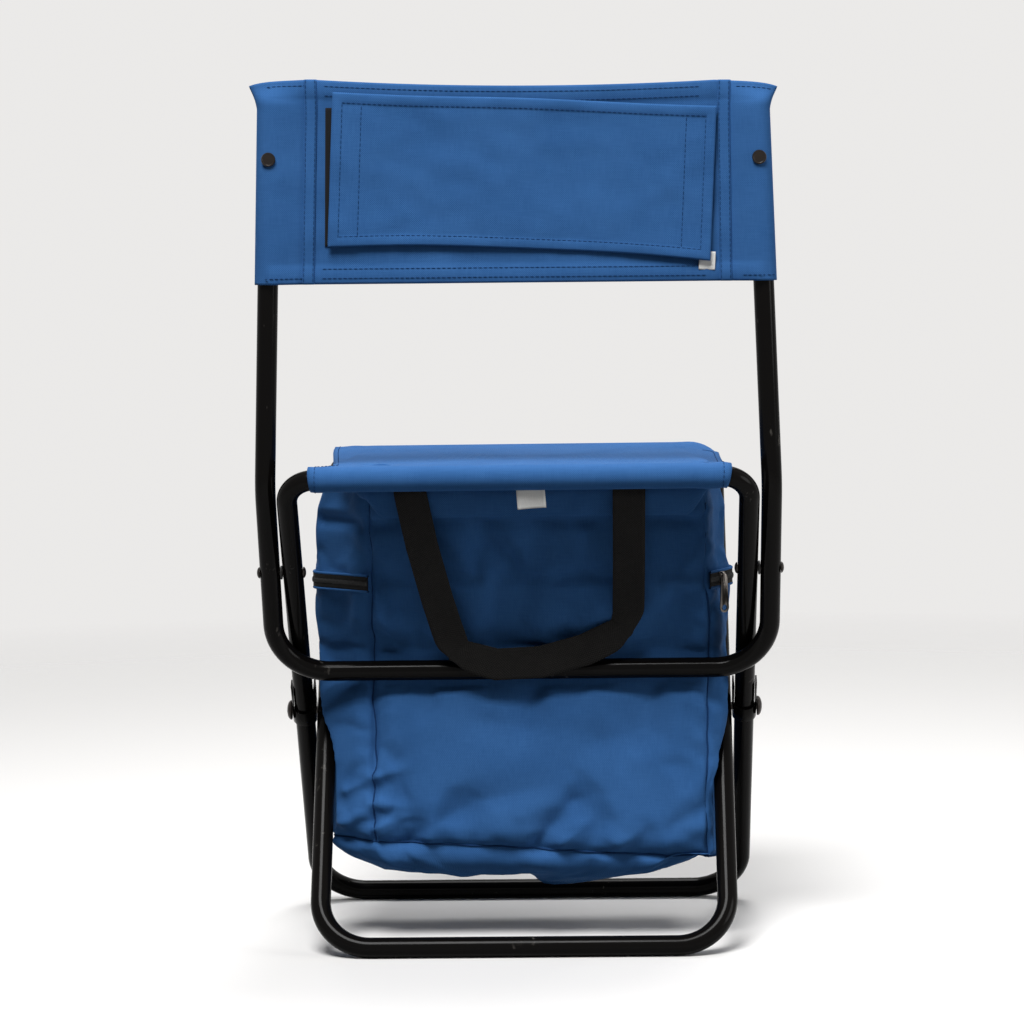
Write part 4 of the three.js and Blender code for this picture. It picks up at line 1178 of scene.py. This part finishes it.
# Each fold of the rear panel: its start and end across and up the panel, its width and its height
bag_folds = (
    ((-0.119, 0.133), (-0.094, 0.140), 0.005, 0.0030), ((-0.119, 0.112), (-0.092, 0.109), 0.006, 0.0035),
    ((-0.119, 0.092), (-0.095, 0.100), 0.005, 0.0030), ((-0.141, 0.120), (-0.119, 0.131), 0.006, 0.0032),
    ((-0.143, 0.096), (-0.119, 0.108), 0.006, 0.0030), ((-0.103, 0.146), (-0.089, 0.086), 0.011, -0.0040),
    ((-0.091, 0.084), (-0.036, 0.114), 0.012, -0.0040), ((-0.036, 0.114), (0.020, 0.125), 0.014, -0.0032),
    ((-0.076, 0.083), (-0.070, 0.110), 0.008, 0.0030), ((0.012, 0.080), (0.040, 0.112), 0.008, -0.0034),
    ((0.040, 0.112), (0.062, 0.120), 0.010, -0.0022), ((0.030, 0.079), (0.052, 0.098), 0.007, 0.0026),
    ((0.075, 0.080), (0.100, 0.095), 0.008, 0.0024), ((0.060, 0.160), (0.110, 0.172), 0.016, -0.0030),
    ((-0.030, 0.176), (0.030, 0.170), 0.014, -0.0026), ((-0.113, 0.285), (-0.078, 0.240), 0.010, -0.0036),
    ((-0.113, 0.262), (-0.090, 0.238), 0.008, 0.0028), ((0.150, 0.287), (0.112, 0.262), 0.010, -0.0036),
    ((0.150, 0.268), (0.118, 0.240), 0.009, 0.0028), ((-0.060, 0.330), (0.060, 0.322), 0.016, -0.0022),
)
widest_pucker = 0.009
short_pucker, wide_fold = 2.0, 1.4
fold_sharpness, fold_fade = 1.5, 0.75


def fold_lifts(spots):
    """How far the rear panel's folds lift each spot, each a soft ridge or hollow from a sewn edge."""
    lifts = np.zeros(len(spots))
    for start, end, width, height in bag_folds:
        run = np.subtract(end, start)
        share = np.clip((spots - start) @ run / (run @ run), 0, 1)
        aside = np.linalg.norm(spots - start - share[:, None] * run, axis=1)
        drawn = short_pucker if width < widest_pucker else wide_fold
        lifts += drawn * height * np.exp(-((aside / width) ** fold_sharpness)) * (1 - fold_fade * share)
    return lifts


def bell(distance, width):
    return math.exp(-((distance / width) ** 2))


seam_runs = [np.array([bag.data.vertices[index].co for index in column]) for column in seam_columns]
seam_spots = place_finder(np.concatenate([
    run[:-1] + (run[1:] - run[:-1]) * share for run in seam_runs for share in (0, 0.25, 0.5, 0.75)
]))
pucker_rise, pucker_reach = 0.0016, 0.022
left_groove, right_groove, groove_width, groove_top = 0.0050, 0.0038, 0.0028, bag_top - 0.012
base_groove, base_groove_width = 0.0034, 0.0036
foam_rise, foam_from_seam, foam_width, foam_wave = 0.0020, 0.013, 0.008, 0.0014
band_line, band_line_depth, band_line_width = 0.338, 0.0042, 0.0055
folds_top, zip_flat = 0.35, 0.009
rear_from, rear_sharpness = 0.35, 3
seam_lift = 0.0006
bag_normals = [point.normal.copy() for point in bag.data.vertices]
bag_lifts = fold_lifts(np.array([(point.co.x, point.co.z) for point in bag.data.vertices]))
for point, outward, fold in zip(bag.data.vertices, bag_normals, bag_lifts):
    x, y, z = point.co
    to_seam = seam_spots.find(point.co)[2]
    to_base = abs(z - bag_foot + base_slope * x)
    pucker = pucker_rise * ripple_at(x * 30, y * 30, z * 70) * bell(to_seam, pucker_reach)
    pucker += pucker_rise * ripple_at(x * 70, y * 70, z * 30) * bell(to_base, pucker_reach)
    groove = (left_groove if x < 0 else right_groove) * bell(to_seam, groove_width) * (z < groove_top)
    groove = max(groove, base_groove * bell(to_base, base_groove_width))
    foam = foam_rise * bell(min(to_seam, to_base) - foam_from_seam, foam_width)
    on_rear = eased((-outward.y - rear_from) * rear_sharpness)
    under_zip = math.exp(-(((z - zip_height) / zip_flat) ** 4)) * (1 - on_rear)
    lift = (fold * on_rear if z < folds_top else 0) + (pucker + foam) * (1 - under_zip) - groove
    lift -= band_line_depth * bell(z - band_line, band_line_width) * on_rear
    lift += foam_wave * ripple_at(x * 13, y * 13, z * 15) * (1 - under_zip)
    point.co = leg_clear(point.co + outward * lift)
sewn_places = [point.co + outward * seam_lift for point, outward in zip(bag.data.vertices, bag_normals)]
dress(bag, blue_cloth, "blue_fabric", "bag", "bag_shell")


def fold_flat(piece):
    """Gives a piece of the bag a mesh of its own."""
    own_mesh(piece)


fold_flat(bag)

# Bag top band
# A strip of cloth folded double over the rear panel's upper edge, just below the seat. Its ends turn
# up towards the seat bar.
band_low, band_high, band_length, band_thickness = 0.3435, 0.3795, 0.3, 0.001
band_first, band_last = -3, right_seam + 2
band_end_rise, band_end = 0.024, 0.26
band_off, band_roll, band_ripple = 0.0032, 0.0042, 0.0018


def round_bag(ring, column):
    """The point at a column of a ring of the bag, and the way out of the bag there."""
    i = int(column)
    here, there = Vector(ring[i % bag_columns]), Vector(ring[(i + 1) % bag_columns])
    outward = Vector((there.y - here.y, here.x - there.x, 0)).normalized()
    return here.lerp(there, column - i), outward


def band_place(u, v):
    low = band_low + band_end_rise * eased((abs(2 * u - 1) - 1 + band_end) / band_end)
    ring = bag_ring(low + (band_high - low) * v)
    point, outward = round_bag(ring, (band_first + (band_last - band_first) * u) % bag_columns)
    roll = math.sqrt(max(math.sin(math.pi * (0.07 + 0.93 * v)), 0))
    out = band_off + band_roll * roll + band_ripple * ripple_at(*(point * 42))
    return leg_clear(point + outward * out)


band_cut = (band_length, band_high - band_low)
band = cloth_grid("bag_top_band", 110, 14, band_cut, band_place)
sew_up(band, band_thickness)
dress(band, blue_cloth, "blue_fabric", "bag")
fold_flat(band)

# Bag seams
# The panels' edges are turned in and sewn together along the upright seams and round the base. A thin cord
# in the dark colour of the sewing thread lies at the bottom of each groove: painted shade for the shadow
# inside the seam.
seam_shadow_radius = 0.0007


def welt(name, route, radius, sides=8):
    """A thin round ridge along a route."""
    route = [Vector(point) for point in route]
    count = len(route) - 1

    def place(u, v):
        i = round(v * count)
        ahead = (route[min(i + 1, count)] - route[max(i - 1, 0)]).normalized()
        side = ahead.cross(Vector((0.3, 1, 0.2))).normalized()
        turn = 2 * math.pi * u
        return route[i] + (side * math.cos(turn) + ahead.cross(side) * math.sin(turn)) * radius

    length = sum((there - here).length for here, there in zip(route, route[1:]))
    return sew_up(cloth_grid(name, sides, count, (2 * math.pi * radius, length), place))


seam_shadow_routes = {
    f"bag_seam_{name}": bag_rows[base_seam_row:top_row - 6, column]
    for name, column in zip(("rear_left", "rear_right", "front_right", "front_left"), bag_seams)
}
seam_shadow_routes["bag_seam_base"] = np.concatenate((bag_rows[base_seam_row], bag_rows[base_seam_row][:1]))
# Each cord is painted shade: a dark line standing in for the shadow at the bottom of its seam's groove.
for name, route in seam_shadow_routes.items():
    seam = welt(name, [sewn_places[cut_places.find(point)[1]] for point in route], seam_shadow_radius)
    dress(seam, blue_thread, "blue_fabric", "bag")
    fold_flat(seam)

# Bag zip
# A coil zip on black tape round the front and both gussets, under the folded edges of the cloth
# above and below it, with a dark slider on the right.
zip_black = cloth_finish(
    "black_zip_tape", (0.003, 0.003, 0.003), (0.011, 0.0105, 0.0105),
    pitch=0.001, relief=0.5, roughness=0.6, Specular_IOR_Level=0.07,
)
zip_half, zip_lift, zip_tape_thickness = 0.0056, 0.0022, 0.0008
coil_lift = zip_lift + 0.0005
zip_fold_radius, zip_fold_gap, zip_fold_lift = 0.0012, 0.0006, 0.0018
zip_ring = bag_ring(zip_height)
zip_first, zip_last = right_seam + 0.06, bag_columns - 0.06


def on_zip(u, rise, out):
    point, outward = round_bag(zip_ring, zip_first + (zip_last - zip_first) * u)
    point.z += rise
    return point + outward * out


zip_spots = np.array([on_zip(u, 0, 0) for u in np.linspace(0, 1, 400)])
zip_length = float(np.linalg.norm(np.diff(zip_spots, axis=0), axis=1).sum())
zip_cut = (zip_length, 2 * zip_half)
tape = cloth_grid(
    "zip_tape_cloth", 200, 6, zip_cut, lambda u, v: on_zip(u, (2 * v - 1) * zip_half, zip_lift),
)
sew_up(tape, zip_tape_thickness)
dress(tape, zip_black, "black_webbing", "bag", "zip_tape")
coil_line = [
    (on_zip(u, 0, coil_lift), on_zip(u, 0, 1) - on_zip(u, 0, 0)) for u in np.linspace(0, 1, 500)
]
coil = stitched("zip_coil", [coil_line], length=0.0012, pitch=0.0015, thickness=0.0046, height=0.0018)
dress(coil, black_plastic, "black_plastic", "bag")
zip_pieces = [tape, coil]
for name, side in (("lower", -1), ("upper", 1)):
    rise = side * (zip_half + zip_fold_gap)
    edge = [on_zip(u, rise, zip_fold_lift) for u in np.linspace(0, 1, 200)]
    fold = welt(f"zip_fold_{name}", edge, zip_fold_radius)
    dress(fold, blue_cloth, "blue_fabric", "bag")
    zip_pieces.append(fold)
for piece in zip_pieces:
    fold_flat(piece)

# Zip slider and pull
# A die cast slider on the coil, and a pressed pull tab with a round hole that hangs from the slider's
# bridge. Both are plated in dark nickel.
gunmetal = coated_metal(
    "dark_nickel", (0.13, 0.118, 0.108), worn=(0.29, 0.268, 0.245), gloss=0.25, dull=0.42, scuffs=0.7,
    Metallic=1.0,
)
hang = joint_at["pull_swing"]
zip_along = Vector((0.496, 0.868, 0))
zip_face = Vector((0.868, -0.496, 0))
to_rear = Matrix.Rotation(math.radians(-30), 4, "Z")
zip_out = to_rear @ zip_face
slider_seat, pull_seat = zip_face * 0.0028, zip_face * 0.0052
bridge_wire, bridge_bend = 0.0009, 0.0018
bridge_steps = ((0.0045, -0.001), (0.0045, 0.0036), (-0.0032, 0.0036), (-0.0032, -0.001))
neck_share, neck_start, neck_length = 0.7, 0.001, 0.012


def turn_to_rear(piece, seat):
    piece.data.transform(Matrix.Translation(hang + seat) @ to_rear @ Matrix.Translation(-hang))


slider = worked_copy("zip_slider", "zip_slider_body", bevel=0.0008)
turn_to_rear(slider, slider_seat)
dress(slider, gunmetal, "gunmetal", "zip_slider", "zip_slider")
bridge_route = [hang + slider_seat + Vector((0, 0, rise)) + zip_out * out for rise, out in bridge_steps]
bridge = bent_tube(
    "zip_slider_bridge", bridge_route, (bridge_bend, bridge_bend), bridge_wire,
    sides=12, step=math.radians(18),
)
dress(bridge, gunmetal, "gunmetal", "zip_slider")
pull = worked_copy("zip_pull", "zip_pull_tab", bevel=0.0004)
for point in pull.data.vertices:
    neck = neck_share + (1 - neck_share) * eased((hang.z - point.co.z - neck_start) / neck_length)
    point.co += zip_along * ((point.co - hang).dot(zip_along) * (neck - 1))
turn_to_rear(pull, pull_seat)
dress(pull, gunmetal, "gunmetal", "zip_pull", "zip_pull")
for piece in (slider, bridge, pull):
    fold_flat(piece)

# Bag liner
# Closed cell foam faced with foil and welded to an open box inside the bag, and a pad of the same foam
# under the bag's lid.
foil = coated_metal(
    "foil_faced_foam", (0.62, 0.63, 0.64), worn=(0.4, 0.41, 0.42), gloss=0.3, dull=0.5, scuffs=0.6,
    Metallic=0.85,
)
liner_inset, liner_thickness = 0.8, 0.004
liner_floor, liner_low, liner_high = 0.066, 0.105, 0.362
liner_cut, pad_cut = (0.8, 0.4), (0.8, 0.3)
liner_rows = [
    shrunk(bag_ring(liner_low), share, liner_low - liner_floor) for share in (0.02, 0.3, 0.6, 0.76)
]
liner_rows += [
    shrunk(bag_ring(height), liner_inset, 0) for height in np.linspace(liner_low, liner_high, 30)
]
liner_rows = np.array(liner_rows)
liner = cloth_grid("bag_foil_liner", bag_columns, len(liner_rows) - 1, liner_cut, from_rows(liner_rows))
sew_up(liner, liner_thickness)
dress(liner, foil, "foil_foam", "bag", "bag_liner")
fold_flat(liner)
pad_height = 0.366
pad_section = [(share, 0.001) for share in (0.02, 0.4, 0.8, 0.9)]
pad_section += [(0.91, -0.002), (0.91, -0.006), (0.91, -0.010)]
pad_section += [(share, -0.0125) for share in (0.9, 0.8, 0.4, 0.02)]
pad_rows = np.array([shrunk(bag_ring(pad_height), share, drop) for share, drop in pad_section])
lid_pad = cloth_grid("lid_foam_pad", bag_columns, len(pad_rows) - 1, pad_cut, from_rows(pad_rows))
sew_up(lid_pad)
dress(lid_pad, foil, "foil_foam", "bag", "lid_pad")
fold_flat(lid_pad)

# Carry handle
# One length of 25 mm black webbing, its ends sewn under the seat's rear sleeve. It hangs over the
# backrest's crossbar and folds over on itself where it turns along the bar.
webbing_black = cloth_finish(
    "black_webbing", (0.001, 0.001, 0.001), (0.013, 0.0122, 0.0115),
    pitch=0.0021, relief=1.0, roughness=0.66, Sheen_Weight=0.03, Specular_IOR_Level=0.08,
)
strap_width, strap_thickness = 0.0252, 0.0015
strap_route = [Vector(point) for point in (
    (-0.0850, -0.1165, 0.3775), (-0.0835, -0.1160, 0.3620), (-0.0760, -0.1000, 0.3215),
    (-0.0655, -0.0790, 0.2765), (-0.0528, -0.0600, 0.2312), (-0.0200, -0.0597, 0.2225),
    (0.0150, -0.0597, 0.2240), (0.0500, -0.0597, 0.2335), (0.0830, -0.0612, 0.2490),
    (0.0850, -0.0640, 0.2620), (0.0855, -0.0900, 0.3075), (0.0858, -0.1160, 0.3600),
    (0.0858, -0.1165, 0.3775),
)]
strap_folds = (4, 8)
fold_reach, fold_overlap, fold_rise = 0.011, 0.58, 0.0035
strap_wave = 0.0012
strap_edges = []
for i, point in enumerate(strap_route):
    ways = [strap_route[j + 1] - strap_route[j] for j in (max(i - 1, 0), min(i, len(strap_route) - 2))]
    sides = [Vector((-way.z, 0, way.x)).normalized() for way in ways]
    strap_edges.append((sides[0] + sides[1]) / (1 + sides[0].dot(sides[1])))
strap_reach = np.concatenate(([0], np.cumsum([
    (there - here).length for here, there in zip(strap_route, strap_route[1:])
])))
strap_length = float(strap_reach[-1])


def strap_place(u, v):
    reach = clamped(v) * strap_length
    i = min(int(np.searchsorted(strap_reach, reach, side="right")) - 1, len(strap_route) - 2)
    share = (reach - strap_reach[i]) / (strap_reach[i + 1] - strap_reach[i])
    side = strap_edges[i].lerp(strap_edges[i + 1], share)
    aside = (u - 0.5) * strap_width
    folded = max(bell(reach - strap_reach[fold], fold_reach) for fold in strap_folds)
    if aside < 0:
        aside *= 1 - fold_overlap * folded
    point = strap_route[i].lerp(strap_route[i + 1], share) + side * aside
    point.y += strap_wave * ripple_at(v * 9, u * 1.5, 4) - fold_rise * folded * (1 - u)
    return point


strap = cloth_grid("handle_webbing", 10, 240, (strap_width, strap_length), strap_place)
sew_up(strap, strap_thickness)
dress(strap, webbing_black, "black_webbing", None, "carry_handle")
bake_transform(strap)
